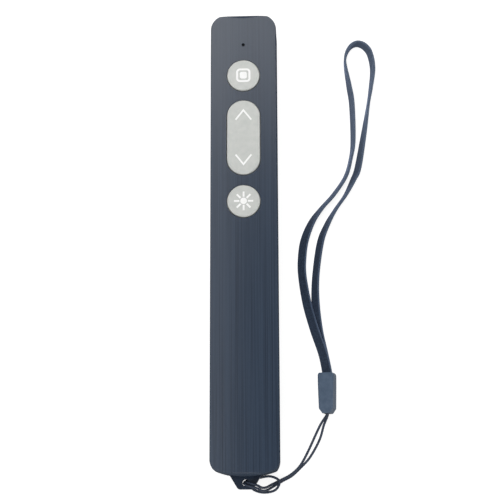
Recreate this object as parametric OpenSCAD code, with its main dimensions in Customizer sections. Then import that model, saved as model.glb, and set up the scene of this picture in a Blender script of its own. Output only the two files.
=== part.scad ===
// Wireless presentation clicker with a wrist strap.
// It lies on its back: X across, Y towards the laser tip, Z up through the buttons.
// The origin is on the table, under the middle of the casing and its lanyard lug.

/* [Casing] */
// Length of the casing, tip to tail
body_l = 147.8; // [147:0.1:165]
// Width of the casing
body_w = 21.2; // [20.8:0.1:24]
// Thickness of the casing
body_t = 13.8; // [13.6:0.1:16]
// Thickness of the side and end walls
wall = 1.5; // [1.3:0.1:1.8]
// Thickness of the front wall at its crown
front_wall = 1.3; // [1.2:0.1:1.5]
// Thickness of the back wall
back_wall = 1.3; // [1.2:0.1:1.5]
// Height of the parting line above the back
part_z = 7; // [6.9:0.1:7.4]
// Radius of the rounded edge round the front
front_edge_r = 1.2; // [0.6:0.1:1.6]
// Radius of the rounded edge round the back
back_edge_r = 2.2; // [1:0.1:2.4]
// Radius of the four corners, seen from the front
corner_r = 5; // [3:0.1:5.6]
// Radius of the bowed tip, seen from the front
tip_arc_r = 58; // [40:1:80]
// Radius of the bowed tail, seen from the front
tail_arc_r = 25; // [22:1:60]
// Radius of the crown across the front
crown_r = 110; // [80:5:200]
// Height of the locating lip along the parting line
lip_h = 0.7; // [0.5:0.1:0.9]
// Width and depth of the shadow groove along the parting line
groove = 0.2; // [0.1:0.05:0.3]

/* [Buttons] */
// Diameter of the two round buttons
button_d = 10.4; // [9:0.1:11.5]
// Length of the page rocker
rocker_l = 24.7; // [22:0.1:25.5]
// Width of the page rocker
rocker_w = 10.5; // [9:0.1:11.5]
// How far the buttons stand above the crown
button_proud = 0.5; // [0.4:0.1:1]
// Distance from the tip to the blank button
blank_from_tip = 21; // [20.4:0.1:21.6]
// Distance from the tip to the middle of the rocker
rocker_from_tip = 41.8; // [41.2:0.1:42.2]
// Distance from the tip to the laser button
laser_from_tip = 62.8; // [62.4:0.1:64.4]
// Gap round each button
button_gap = 0.2; // [0.12:0.02:0.3]
// Radius of the rounded rim of each button
button_rim_r = 0.35; // [0.2:0.05:0.5]
// Thickness of each button's retaining flange
flange_t = 0.8; // [0.6:0.1:1]
// Width of each button's retaining flange
flange_w = 0.8; // [0.6:0.1:1]
// Travel of the round buttons
button_travel = 0.3; // [0.2:0.05:0.4]
// Play between a round button's flange and the front wall
flange_play = 0.1; // [0.05:0.05:0.15]
// Play above the rocker's flange, which lets it tilt
rocker_play = 0.5; // [0.45:0.05:0.6]
// Diameter of the tactile pips on the rocker
pip_d = 0.6; // [0.4:0.1:1]

/* [Circuit board] */
// Thickness of the board
board_t = 1; // [0.8:0.1:1.2]
// How far the board reaches past the laser button's middle
board_reach = 4; // [3.5:0.1:8]
// Distance from the tip to the board's front end
board_from_tip = 7.5; // [7:0.1:7.8]
// Width of the neck between the tip bosses
neck_w = 7.6; // [6:0.1:7.8]
// Length of the neck
neck_l = 5.8; // [5.6:0.1:6.4]
// Gap between the board and the side walls
board_gap = 0.3; // [0.2:0.05:0.5]
// Side of the square key switches
switch_w = 4.5; // [4:0.1:5]
// Height of the key switches
switch_h = 1.5; // [1.3:0.1:1.6]
// Diameter of a key switch plunger
plunger_d = 1.8; // [1.4:0.1:2.2]
// How far a plunger stands above its switch
plunger_h = 0.5; // [0.45:0.05:0.6]
// Length of the boss between a round button's flange and its plunger
stem_h = 0.8; // [0.7:0.05:0.9]
// Distance from the rocker's middle to each of its switches
rocker_switch_y = 7.5; // [6:0.1:8.5]
// Running gap round plungers and sliders
slip = 0.12; // [0.08:0.02:0.16]
// Diameter of the status light's hole
light_d = 1; // [0.8:0.1:1.4]
// Distance from the tip to the status light
light_from_tip = 10.4; // [9.9:0.1:10.8]
// How deep the light guide's end sits in its hole
light_recess = 0.5; // [0.1:0.1:0.7]

/* [Laser] */
// Diameter of the laser barrel
barrel_d = 5.6; // [5:0.1:5.8]
// Length of the laser barrel
barrel_l = 14; // [12:0.5:15]
// Height of the laser's axis
laser_z = 4.5; // [4.3:0.1:4.6]
// Diameter of the window in the tip
window_d = 4.2; // [3.6:0.1:4.4]
// Thickness of the window
window_t = 0.8; // [0.6:0.1:0.9]
// Diameter of the beam's opening behind the window
beam_d = 3; // [2:0.1:3.2]

/* [Power switch] */
// Distance from the tip to the middle of the power switch
power_from_tip = 58; // [56:0.5:59]
// Travel of the power switch
power_travel = 2; // [1.5:0.1:2.4]
// Length of the switch knob
knob_l = 5.6; // [5:0.1:6.5]
// Height of the switch knob
knob_h = 2.6; // [2.2:0.1:2.8]
// Depth of the pocket that the knob slides in
pocket_depth = 0.8; // [0.6:0.1:0.9]

/* [Battery] */
// Diameter of the cell
cell_d = 10.5; // [10:0.1:10.5]
// Length of the cell with its nub
cell_l = 44.5; // [43.5:0.1:44.5]
// Distance from the compartment's end wall to the door's latch end
door_inset = 0.2; // [0.1:0.1:2]
// Width of the battery door
door_w = 14; // [12.5:0.1:14.6]
// Thickness of the battery door
door_t = 1.2; // [1:0.1:1.4]
// Gap round the door and the receiver
door_gap = 0.15; // [0.1:0.05:0.25]
// How far the door and the receiver sit in from the back
back_recess = 0.2; // [0.1:0.05:0.3]
// Thickness of the compartment's cheeks and end walls
cheek_t = 1; // [0.8:0.1:1.2]
// Gap between the cell and what holds it
cell_gap = 0.3; // [0.2:0.05:0.4]
// Length of the compressed contact spring
spring_l = 5; // [4:0.1:6]
// Turns of the contact spring
spring_turns = 5; // [3:1:7]
// Wire diameter of the contact spring
spring_wire = 0.5; // [0.4:0.05:0.6]
// Thickness of the contact plates
contact_t = 0.4; // [0.3:0.05:0.5]

/* [USB receiver] */
// Length of the receiver's grip
grip_l = 6.8; // [6:0.1:8]
// Width of the receiver's grip
grip_w = 14.4; // [13.5:0.1:14.8]
// Thickness of the receiver's grip
grip_t = 5.6; // [5.2:0.1:5.7]
// Length of the plug
plug_l = 12; // [11.5:0.1:12.5]
// Width of the plug
plug_w = 12; // [11.8:0.1:12.2]
// Height of the plug
plug_h = 4.5; // [4.3:0.1:4.6]
// Wall of the plug's metal shell
plug_wall = 0.3; // [0.25:0.05:0.4]
// Distance from the tip to the front of the receiver's bay
bay_from_tip = 26; // [25.5:0.1:27]
// Wall round the receiver's bay
bay_wall = 0.8; // [0.6:0.1:0.9]

/* [Screws] */
// Diameter of the screws' shanks
screw_d = 1.7; // [1.6:0.1:2]
// Diameter of the screws' heads
screw_head_d = 3.4; // [3:0.1:3.6]
// Height of the screws' heads
screw_head_h = 1.1; // [0.9:0.1:1.2]
// Length of the screws below their heads
screw_l = 8.5; // [7.5:0.1:9]
// Diameter of the posts in the rear shell
post_d = 5; // [4.6:0.1:5.2]
// Diameter of the bosses in the front shell
boss_d = 4; // [3.6:0.1:4.2]
// Distance of the tip screws from the middle
tip_screw_x = 6.4; // [6.2:0.1:6.6]
// Distance from the tip to the tip screws
tip_screw_from_tip = 9.7; // [9.4:0.1:10]

/* [Wrist strap] */
// How far the lanyard lug stands out of the tail
lug_reach = 3.8; // [3.6:0.1:4.4]
// Width of the lug at the tail
lug_w = 9.8; // [9:0.1:10.5]
// Width of the lug at its end
lug_end_w = 4.6; // [4.2:0.1:7]
// Radius of the lug's outer corners
lug_corner_r = 1.1; // [0.6:0.1:1.4]
// Thickness of the lug
lug_t = 2.4; // [2:0.1:2.5]
// Diameter of the lug's eye
eye_d = 2; // [1.9:0.1:2.2]
// Distance of the eye from the tail
eye_from_tail = 1.8; // [1.5:0.1:2]
// Diameter of the string
string_d = 0.8; // [0.6:0.1:0.9]
// Width of the webbing
web_w = 3; // [2.4:0.1:3.2]
// Thickness of the webbing
web_t = 0.55; // [0.4:0.05:0.65]
// Length of the strap's bead
bead_l = 12.6; // [11:0.1:13.5]
// Width of the bead at its top
bead_w = 5.2; // [4.8:0.1:5.6]
// Width of the bead at its string end
bead_end_w = 4.5; // [4:0.1:4.8]
// Thickness of the bead
bead_t = 4; // [3.4:0.1:4.4]
// Radius of the bead's long edges
bead_edge_r = 0.6; // [0.4:0.1:0.9]

/* [Hidden] */
$fn = 64;
eps = 0.01;

// Places along the casing
whole_l = body_l + lug_reach;
tip_y = whole_l / 2;
tail_y = tip_y - body_l;
mid_y = (tip_y + tail_y) / 2;
blank_y = tip_y - blank_from_tip;
rocker_y = tip_y - rocker_from_tip;
laser_y = tip_y - laser_from_tip;
light_y = tip_y - light_from_tip;
power_y = tip_y - power_from_tip;
tip_screw_y = tip_y - tip_screw_from_tip;

// Heights, from the front wall down to the board
ceiling_z = body_t - front_wall;
button_top_z = body_t + button_proud;
flange_top_z = ceiling_z - flange_play;
stem_bottom_z = flange_top_z - flange_t - stem_h;
switch_top_z = stem_bottom_z - plunger_h;
board_top_z = switch_top_z - switch_h;
board_z = board_top_z - board_t;
rocker_flange_top_z = ceiling_z - rocker_play;
rocker_flange_z = rocker_flange_top_z - flange_t;

// The cavity inside the walls
inner_w = body_w - 2 * wall;
board_w = inner_w - 2 * board_gap;
board_front_y = tip_y - board_from_tip;
board_rear_y = laser_y - board_reach;
board_rib_w = 1.2;
rib_t = 1;
front_rib_y = blank_y - 8;
rear_rib_y = laser_y + 9.5;
pad_from_end = 1.2;
pad_y = board_rear_y + pad_from_end;
light_h = 0.6;
controller_side = 5;
controller_h = 0.8;
radio_side = 4;
crystal_w = 2.6;
crystal_l = 3.2;
chip_gap = 1.3;
chip_l = 0.8;
chip_h = 0.5;
guide_flange_d = light_d + 1.1;
guide_flange_h = 1.1;
guide_gap = 0.06;

// The battery compartment, from the tail forwards
tail_screw_from_tail = 5.2;
tail_screw_y = tail_y + tail_screw_from_tail;
compartment_from_tail = 8.3;
compartment_y = tail_y + compartment_from_tail + cheek_t;
spring_y = compartment_y + contact_t;
cell_y = spring_y + spring_l;
contact_y = cell_y + cell_l;
compartment_end_y = contact_y + contact_t;
door_z = back_recess;
cell_z = door_z + door_t + cell_gap + cell_d / 2;
cheek_x = cell_d / 2 + cell_gap;
cheek_top_z = cell_z + 2.5;
hook_l = 1.1;
hook_t = 0.7;
hook_w = 1.8;
hook_room = hook_l + 0.4;
hook_x = cheek_x - hook_w / 2 - 0.35;
door_play = 0.1;
ledge_t = 1;
door_end_y = compartment_end_y - hook_room;
door_start_y = compartment_y + door_inset;
mid_screw_y = compartment_end_y + cheek_t + boss_d / 2 + 0.15;
nub_d = 3.8;
nub_l = 1;
contact_w = 8.8;
tab_w = 1.6;
tab_h = 1.2;
lead_d = 0.8;
positive_tab_x = 3.6;
negative_tab_x = cheek_x + cheek_t + 0.65;

// The receiver's bay
bay_l = plug_l + grip_l + 2 * door_gap;
bay_front_y = tip_y - bay_from_tip;
bay_rear_y = bay_front_y - bay_l;
bay_w = grip_w + 2 * door_gap;
bay_top_z = back_recess + grip_t + door_gap;
grip_y = bay_rear_y + door_gap;
plug_y = grip_y + grip_l;
plug_z = back_recess + grip_t / 2;

// The laser, behind the tip
window_recess = 0.15;
window_seat = window_t + window_recess;
barrel_front_y = tip_y - wall - 0.5;
barrel_y = barrel_front_y - barrel_l;

// The power switch, in the left wall
knob_z = board_top_z + 0.9;
pocket_l = knob_l + power_travel + 2 * slip;
lever_t = 1;
lever_w = 1.4;
base_w = 2.6;
base_l = 6.7;
base_h = 1.5;
base_x = -board_w / 2;
outer_x = -body_w / 2;

// The screws
head_z = 0.4;
pilot_gap = 0.05;
screw_places = [[-tip_screw_x, tip_screw_y], [tip_screw_x, tip_screw_y], [0, mid_screw_y], [0, tail_screw_y]];

// The lug, clamped between the shells at the tail
lug_top_z = part_z - 0.2;
lug_z = lug_top_z - lug_t;
lug_plate_w = 13.6;
lug_play = 0.1;
lug_plate_y = tail_y + tail_arc_r - sqrt(pow(tail_arc_r - wall, 2) - pow(lug_plate_w / 2, 2)) + lug_play;
lug_root_y = tail_y + tail_arc_r - sqrt(pow(tail_arc_r, 2) - pow(lug_w / 2, 2));

// ---------------------------------------------------------------- shapes

// A rectangle with round corners, w across and l along, from circles and squares.
module rounded_rect(w, l, r) {
    for (x = [-1, 1], y = [-1, 1])
        translate([x * (w / 2 - r), y * (l / 2 - r)]) circle(r);
    square([w - 2 * r, l], center = true);
    square([w, l - 2 * r], center = true);
}

// The casing seen from the front, drawn in by an inset.
module plan_outline(inset) {
    intersection() {
        translate([0, mid_y]) rounded_rect(body_w - 2 * inset, body_l - 2 * inset, max(corner_r - inset, 0.4));
        union() {
            translate([0, tip_y - tip_arc_r]) circle(tip_arc_r - inset, $fn = 200);
            translate([0, tail_y + tail_arc_r]) circle(tail_arc_r - inset, $fn = 200);
            translate([-body_w, tail_y + tail_arc_r - 1]) square([2 * body_w, body_l - tip_arc_r - tail_arc_r + 2]);
        }
    }
}

// A section that is centred on x, with one radius at the back and one at the front.
module section_outline(w, low, high, back_r, front_r) {
    for (x = [-1, 1]) {
        translate([x * (w / 2 - back_r), low + back_r]) circle(back_r);
        translate([x * (w / 2 - front_r), high - front_r]) circle(front_r);
    }
    translate([-w / 2 + back_r, low]) square([w - 2 * back_r, back_r + eps]);
    translate([-w / 2, low + back_r]) square([w, high - low - back_r - front_r]);
    translate([-w / 2 + front_r, high - front_r - eps]) square([w - 2 * front_r, front_r + eps]);
}

// The whole casing as one solid: its plan, its cross section and its side view, cut from each other.
module casing_form(inset, low, high) {
    back_r = max(back_edge_r - inset, 0.4);
    front_r = max(front_edge_r - inset, 0.3);
    intersection() {
        translate([0, 0, low]) linear_extrude(high - low) plan_outline(inset);
        translate([0, mid_y, 0]) rotate([90, 0, 0]) linear_extrude(body_l, center = true)
            section_outline(body_w - 2 * inset, low, high, back_r, front_r);
        translate([0, mid_y, 0]) rotate([90, 0, 90]) linear_extrude(body_w, center = true)
            section_outline(body_l - 2 * inset, low, high, back_r, front_r);
    }
}

module outer_form() {
    intersection() {
        casing_form(0, 0, body_t);
        translate([0, mid_y, body_t - crown_r]) rotate([90, 0, 0])
            cylinder(r = crown_r, h = body_l + 2, center = true, $fn = 256);
    }
}

module cavity_form() {
    casing_form(wall, back_wall, ceiling_z);
}

// A slab of the plan, drawn in by an inset, between two heights.
module plan_slab(inset, low, high) {
    translate([0, 0, low]) linear_extrude(high - low) plan_outline(inset);
}

// The shadow groove round the parting line.
module parting_groove() {
    difference() {
        plan_slab(-1, part_z - groove / 2, part_z + groove / 2);
        plan_slab(groove, part_z - groove, part_z + groove);
    }
}

// A block given by two corners.
module block(a, b) {
    translate(a) cube(b - a);
}

// A long hole or cap with round ends, lying along Y.
module pill(l, w, h) {
    for (y = [-1, 1]) translate([0, y * (l - w) / 2, 0]) cylinder(d = w, h = h);
    if (l > w) translate([-w / 2, -(l - w) / 2, 0]) cube([w, l - w, h]);
}

// Half the section of a cap: flat on top, with a rounded rim.
module cap_half_section(r, h, rim) {
    square([r - rim, h]);
    square([r, h - rim]);
    translate([r - rim, h - rim]) circle(rim);
}

// A cap with round ends and a rounded rim.
module cap(l, w, h, rim) {
    for (y = [-1, 1]) translate([0, y * (l - w) / 2, 0])
        rotate_extrude() intersection() {
            cap_half_section(w / 2, h, rim);
            square([w, h]);
        }
    if (l > w) rotate([90, 0, 0]) linear_extrude(l - w, center = true)
        for (side = [0, 1]) mirror([side, 0]) cap_half_section(w / 2, h, rim);
}

// A button: cap, retaining flange and one stem over each switch.
module button(l, w, flange_top, stem_bottom, stem_ys) {
    flange_z = flange_top - flange_t;
    difference() {
        union() {
            translate([0, 0, flange_z + flange_t - eps]) cap(l, w, button_top_z - flange_top + eps, button_rim_r);
            translate([0, 0, flange_z]) pill(l + 2 * flange_w, w + 2 * flange_w, flange_t);
        }
        // the moulded cap is hollow from below
        translate([0, 0, flange_z - eps]) pill(l - 3, w - 3, button_top_z - flange_z - 1.1);
    }
    for (y = stem_ys) translate([0, y, stem_bottom])
        cylinder(d = 2.6, h = button_top_z - 1 - stem_bottom);
    // cross ribs that carry the stems
    for (y = stem_ys) translate([-w / 2 + 1, y - 0.4, flange_z]) cube([w - 2, 0.8, flange_t]);
}

// ---------------------------------------------------------------- casing

module front_shell() {
    color("#3b4551") difference() {
        union() {
            difference() {
                outer_form();
                plan_slab(-1, -1, part_z);
                cavity_form();
                // rebate for the rear shell's lip
                plan_slab(wall / 2, part_z - 1, part_z + lip_h + 0.1);
                parting_groove();
            }
            for (p = screw_places) intersection() {
                translate([p.x, p.y, p == screw_places[3] ? lug_top_z + 0.1 : part_z])
                    cylinder(d = boss_d, h = body_t);
                casing_form(0.5, 0, ceiling_z + 0.3);
            }
            // ribs that press the board down
            for (y = [front_rib_y, rear_rib_y], x = [-1, 1]) translate([x * (board_w / 2 - board_rib_w / 2), y, 0])
                block([-board_rib_w / 2, -rib_t / 2, board_top_z], [board_rib_w / 2, rib_t / 2, ceiling_z + 0.2]);
            // collar that holds the light guide
            translate([0, light_y, ceiling_z - guide_flange_h]) cylinder(d = guide_flange_d + 2, h = guide_flange_h + 0.2);
        }
        for (y = [blank_y, laser_y]) translate([0, y, 0])
            cylinder(d = button_d + 2 * button_gap, h = 3 * body_t);
        translate([0, rocker_y, 0]) pill(rocker_l + 2 * button_gap, rocker_w + 2 * button_gap, 3 * body_t);
        translate([0, light_y, 0]) cylinder(d = light_d + guide_gap, h = 3 * body_t);
        translate([0, light_y, ceiling_z - 2]) cylinder(d = guide_flange_d + guide_gap, h = 2);
        for (p = screw_places) translate([p.x, p.y, part_z - 1])
            cylinder(d = screw_d + 2 * pilot_gap, h = head_z + screw_head_h + screw_l + 0.6 - part_z + 1);
        // the power switch's pocket and slot
        block([outer_x - 1, power_y - pocket_l / 2, knob_z - knob_h / 2 - slip],
            [outer_x + pocket_depth, power_y + pocket_l / 2, knob_z + knob_h / 2 + slip]);
        block([outer_x, power_y - (lever_w + power_travel) / 2 - 2 * slip, knob_z - lever_t / 2 - slip],
            [outer_x + 2 * wall, power_y + (lever_w + power_travel) / 2 + 2 * slip, knob_z + lever_t / 2 + slip]);
    }
}

module rear_shell() {
    color("#323b46") difference() {
        union() {
            difference() {
                outer_form();
                plan_slab(-1, part_z, body_t + 1);
                cavity_form();
                parting_groove();
            }
            // locating lip
            difference() {
                plan_slab(wall / 2 + slip, part_z - 1, part_z + lip_h);
                plan_slab(wall, part_z - 2, part_z + 2);
            }
            intersection() {
                rear_inside();
                casing_form(0.4, 0.4, body_t);
            }
        }
        rear_openings();
    }
}

// Posts, cheeks, the receiver's bay and the laser's cradle.
module rear_inside() {
    for (p = screw_places)
        translate([p.x, p.y, 0]) cylinder(d = post_d, h = p == screw_places[3] ? lug_z : part_z);
    // cheeks beside the cell
    for (x = [-1, 1]) translate([x * (cheek_x + cheek_t / 2), 0, 0])
        block([-cheek_t / 2, compartment_y - cheek_t, 0.4], [cheek_t / 2, compartment_end_y + cheek_t, cheek_top_z]);
    // end walls of the compartment
    for (y = [compartment_y - cheek_t, compartment_end_y])
        block([-cheek_x - cheek_t, y, 0.4], [cheek_x + cheek_t, y + cheek_t, cheek_top_z]);
    // box round the receiver
    block([-bay_w / 2 - bay_wall, bay_rear_y - bay_wall, 0.4],
        [bay_w / 2 + bay_wall, bay_front_y + bay_wall, bay_top_z + bay_wall]);
    // ledges that the door's edges lie under
    for (side = [0, 1]) mirror([side, 0, 0])
        block([cheek_x, compartment_y - cheek_t, 0.4],
            [inner_w / 2 + 0.4, compartment_end_y + cheek_t, door_z + door_t + door_play + ledge_t]);
    // ribs under the board's edges
    for (y = [front_rib_y, rear_rib_y, board_rear_y + rib_t], side = [0, 1]) mirror([side, 0, 0])
        block([board_w / 2 - board_rib_w, y - rib_t / 2, 0.4], [inner_w / 2 + 0.4, y + rib_t / 2, board_z]);
    // saddles under the laser barrel
    for (y = [barrel_y + 2, barrel_front_y - 3.5])
        block([-barrel_d / 2 - 0.6, y, 0.4], [barrel_d / 2 + 0.6, y + 1.5, laser_z - 0.6]);
}

module rear_openings() {
    // battery door and the cell's space
    block([-door_w / 2 - door_gap, door_start_y - door_gap, -1],
        [door_w / 2 + door_gap, door_end_y + door_gap, door_z + door_t + door_play]);
    block([-cheek_x, compartment_y, door_z + door_t], [cheek_x, compartment_end_y, body_t]);
    // receiver's bay, with rails left beside the plug
    difference() {
        block([-bay_w / 2, bay_rear_y, -1], [bay_w / 2, bay_front_y, bay_top_z]);
        for (x = [-1, 1]) translate([x * (plug_w / 2 + door_gap + 2), 0, 0])
            block([-2, plug_y + 0.4, back_wall], [2, bay_front_y + 1, bay_top_z + 1]);
    }
    // scoop for a fingernail
    translate([0, bay_rear_y, -4.9]) sphere(r = 5.8);
    // screw holes and head seats
    for (p = screw_places) {
        translate([p.x, p.y, -1]) cylinder(d = screw_d + 0.3, h = body_t);
        translate([p.x, p.y, -1]) cylinder(d = screw_head_d + 0.3, h = 1 + head_z + screw_head_h);
    }
    // laser barrel, beam opening and window seat
    translate([0, barrel_y - 0.2, laser_z]) rotate([-90, 0, 0]) cylinder(d = barrel_d + 0.1, h = barrel_l + 0.4);
    translate([0, barrel_y, laser_z]) rotate([-90, 0, 0]) cylinder(d = beam_d, h = barrel_l + 10);
    translate([0, tip_y - window_seat, laser_z]) rotate([-90, 0, 0]) cylinder(d = window_d + 0.1, h = 5);
    // the lug's slot in the tail wall and room for its plate
    block([-lug_w / 2 - lug_play, tail_y - 1, lug_z - lug_play], [lug_w / 2 + lug_play, lug_plate_y + 1, body_t]);
}

// ---------------------------------------------------------------- buttons and board

module blank_button() {
    color("#bfc3c0") translate([0, blank_y, 0])
        button(button_d, button_d, flange_top_z, stem_bottom_z, [0]);
}

module laser_button() {
    color("#bfc3c0") translate([0, laser_y, 0])
        button(button_d, button_d, flange_top_z, stem_bottom_z, [0]);
}

module page_rocker() {
    color("#bfc3c0") translate([0, rocker_y, 0]) {
        button(rocker_l, rocker_w, rocker_flange_top_z, stem_bottom_z, [-rocker_switch_y, rocker_switch_y]);
        // the rib that rocks on the pivot
        translate([0, 0, rocker_flange_z]) rotate([0, 90, 0]) cylinder(d = 1, h = rocker_w - 3.4, center = true);
        translate([-rocker_w / 2 + 1, -0.5, rocker_flange_z]) cube([rocker_w - 2, 1, 2.2]);
        for (y = [-1, 1]) translate([0, y * 5.4, button_top_z - eps]) cylinder(d = pip_d, h = 0.1 + eps);
    }
}

module plunger(y) {
    translate([0, y, switch_top_z - 0.9]) cylinder(d = plunger_d, h = plunger_h + 0.9);
}

module blank_plunger() { color("#20242a") plunger(blank_y); }
module laser_plunger() { color("#20242a") plunger(laser_y); }
module rocker_plungers() {
    color("#20242a") for (y = [-1, 1]) plunger(rocker_y + y * rocker_switch_y);
}

switch_ys = [blank_y, rocker_y + rocker_switch_y, rocker_y - rocker_switch_y, laser_y];
cover_t = 0.15;

// Four key switches: moulded bases with a well for the plunger.
module key_switches() {
    color("#2a2d31") for (y = switch_ys) translate([0, y, board_top_z]) difference() {
        translate([-switch_w / 2, -switch_w / 2, 0]) cube([switch_w, switch_w, switch_h - cover_t]);
        translate([0, 0, 0.15]) cylinder(d = plunger_d + 2 * slip, h = switch_h);
    }
}

// Their sprung steel covers, with four legs each.
module switch_covers() {
    color("#b9bcc0") for (y = switch_ys) translate([0, y, board_top_z]) {
        difference() {
            translate([-switch_w / 2, -switch_w / 2, switch_h - cover_t]) cube([switch_w, switch_w, cover_t]);
            cylinder(d = plunger_d + 2 * slip, h = 2 * switch_h);
        }
        for (x = [-1, 1], side = [-1, 1])
            translate([x * (switch_w / 2 + cover_t / 2) - cover_t / 2, side * 1.2 - 0.35, 0])
                cube([cover_t, 0.7, switch_h]);
    }
}

module circuit_board() {
    color("#1f5a3a") difference() {
        union() {
            block([-neck_w / 2, board_front_y - neck_l - 1, board_z], [neck_w / 2, board_front_y, board_top_z]);
            block([-board_w / 2, board_rear_y, board_z], [board_w / 2, board_front_y - neck_l, board_top_z]);
        }
        // two locating holes
        for (x = [-1, 1]) translate([x * board_w / 3, rocker_y, board_z - 1]) cylinder(d = 1.4, h = 3);
    }
}

// A chip of a given size, its middle at x, y, on the board's top (side 1) or under it (side 0).
module chip(x, y, w, l, h, side) {
    translate([x, y, side == 1 ? board_top_z + h / 2 : board_z - h / 2]) cube([w, l, h], center = true);
}

// The controller, the radio chip, the crystal and small capacitors.
module board_chips() {
    color("#1b1d20") {
        chip(0, rear_rib_y - controller_side, controller_side, controller_side, controller_h, 0);
        chip(0, rear_rib_y + radio_side / 2 + chip_gap, radio_side, radio_side, controller_h, 0);
        chip(board_w / 2 - 3 * chip_gap, rear_rib_y - controller_side, crystal_w, crystal_l, controller_h, 0);
        for (i = [0:3]) chip(-board_w / 2 + 2 * chip_gap + 2 * i * chip_gap, pad_y + crystal_l, chip_gap, chip_l, chip_h, 0);
        for (i = [0:2]) chip(board_w / 3, laser_y + crystal_l + i * chip_gap, crystal_w / 2, chip_l, chip_h, 1);
    }
}

// The ridge between the rocker's switches, which the rocker tilts on.
module rocker_pivot() {
    color("#2a2d31") translate([0, rocker_y, 0]) difference() {
        block([-3, -1, board_top_z], [3, 1, rocker_flange_z + 0.05]);
        translate([0, 0, rocker_flange_z]) rotate([0, 90, 0]) cylinder(d = 1 + 2 * slip, h = 20, center = true);
    }
}

module status_light() {
    color("#e8efe0") translate([0, light_y, 0])
        block([-0.8, -0.4, board_top_z], [0.8, 0.4, board_top_z + light_h]);
}

module light_guide() {
    guide_z = board_top_z + light_h + 0.15;
    color("#c9d3d8") translate([0, light_y, 0]) {
        translate([0, 0, guide_z]) cylinder(d = light_d, h = body_t - light_recess - guide_z);
        translate([0, 0, ceiling_z - guide_flange_h]) cylinder(d = guide_flange_d, h = guide_flange_h);
    }
}

// ---------------------------------------------------------------- laser

module laser_barrel() {
    color("#b08d3c") translate([0, barrel_y, laser_z]) rotate([-90, 0, 0]) difference() {
        union() {
            cylinder(d = barrel_d, h = barrel_l - 3);
            cylinder(d = barrel_d - 0.6, h = barrel_l);
        }
        translate([0, 0, 3]) cylinder(d = 3.4, h = barrel_l);
        translate([0, 0, 2.2]) cylinder(d = 1.6, h = barrel_l);
    }
}

module laser_lens() {
    color("#8fb7c9") translate([0, barrel_front_y - 2.2, laser_z]) rotate([-90, 0, 0])
        intersection() {
            cylinder(d = 3.3, h = 1.4);
            translate([0, 0, -3.6]) sphere(r = 5);
        }
}

module laser_window() {
    color("#401014") translate([0, tip_y - window_seat, laser_z]) rotate([-90, 0, 0])
        cylinder(d = window_d, h = window_t);
}

// A wire with round elbows through a list of points.
module wire(points, d) {
    for (i = [0:len(points) - 2]) {
        run = points[i + 1] - points[i];
        translate(points[i]) rotate([0, acos(run.z / norm(run)), atan2(run.y, run.x)]) cylinder(d = d, h = norm(run));
    }
    for (i = [1:len(points) - 2]) translate(points[i]) sphere(d = d);
}

module laser_leads() {
    color("#a03030") for (x = [-1, 1])
        wire([[x, barrel_y, laser_z], [x, barrel_y - 3, laser_z], [x, barrel_y - 3, board_z]], 0.7);
}

// ---------------------------------------------------------------- power switch

module power_knob() {
    color("#22272e") translate([0, power_y - power_travel / 2, knob_z]) {
        block([outer_x + 0.15, -knob_l / 2, -knob_h / 2], [outer_x + pocket_depth - slip, knob_l / 2, knob_h / 2]);
        // grip ribs
        for (y = [-2:2]) block([outer_x, y * 0.9 - 0.2, -knob_h / 2 + 0.3], [outer_x + 0.3, y * 0.9 + 0.2, knob_h / 2 - 0.3]);
        // the fork that reaches the switch's lever
        block([outer_x + 0.4, -lever_w / 2, -lever_t / 2], [outer_x + wall + 0.05, lever_w / 2, lever_t / 2]);
    }
}

module power_switch_base() {
    color("#b9bcc0") translate([0, power_y, board_top_z]) difference() {
        block([base_x + 0.3, -base_l / 2, 0], [base_x + 0.3 + base_w, base_l / 2, base_h]);
        block([base_x - 1, -lever_w / 2 - power_travel / 2 - slip, knob_z - board_top_z - lever_t / 2 - slip],
            [base_x + 0.3 + base_w - 0.5, lever_w / 2 + power_travel / 2 + slip, knob_z - board_top_z + lever_t / 2 + slip]);
    }
}

module power_switch_lever() {
    color("#e6e6e0") translate([0, power_y - power_travel / 2, knob_z])
        block([outer_x + wall + 0.05, -lever_w / 2, -lever_t / 2], [base_x + base_w - 0.4, lever_w / 2, lever_t / 2]);
}

// ---------------------------------------------------------------- battery

module battery_door() {
    hook_z = door_z + door_t + 0.15;
    color("#323b46") difference() {
        union() {
            block([-door_w / 2, door_start_y, door_z], [door_w / 2, door_end_y, door_z + door_t]);
            // hooks that reach behind the back wall
            for (x = [-1, 1]) translate([x * hook_x, door_end_y, 0]) {
                block([-hook_w / 2, -1.6, door_z + door_t - eps], [hook_w / 2, 0, hook_z + hook_t]);
                block([-hook_w / 2, -0.1, hook_z], [hook_w / 2, hook_l, hook_z + hook_t]);
            }
            // snap nub at the latch end
            block([-2.5, door_start_y - 0.1, door_z + 0.5], [2.5, door_start_y + eps, door_z + door_t]);
            // stiffening ribs
            for (x = [-1, 1]) translate([x * (cheek_x - 0.9), 0, 0])
                block([-0.3, door_start_y + 4, door_z + door_t - eps], [0.3, door_end_y - 4, door_z + door_t + 0.4]);
        }
        // nail groove and grip lines by the latch
        translate([0, door_start_y + 1.2, door_z - 1.9]) rotate([0, 90, 0]) cylinder(r = 2.3, h = 7, center = true);
        for (i = [0:3]) translate([0, door_start_y + 5 + 1.4 * i, door_z]) rotate([0, 90, 0])
            cylinder(r = 0.3, h = 8 - 1.2 * i, center = true);
    }
}

module battery_can() {
    color("#6d7176") translate([0, cell_y, cell_z]) rotate([-90, 0, 0]) {
        cylinder(d = cell_d - 0.6, h = cell_l - nub_l);
        translate([0, 0, 0.5]) cylinder(d = cell_d, h = cell_l - nub_l - 1);
    }
}

module battery_nub() {
    color("#c9ccce") translate([0, cell_y + cell_l - nub_l, cell_z]) rotate([-90, 0, 0])
        cylinder(d = nub_d, h = nub_l);
}

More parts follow.
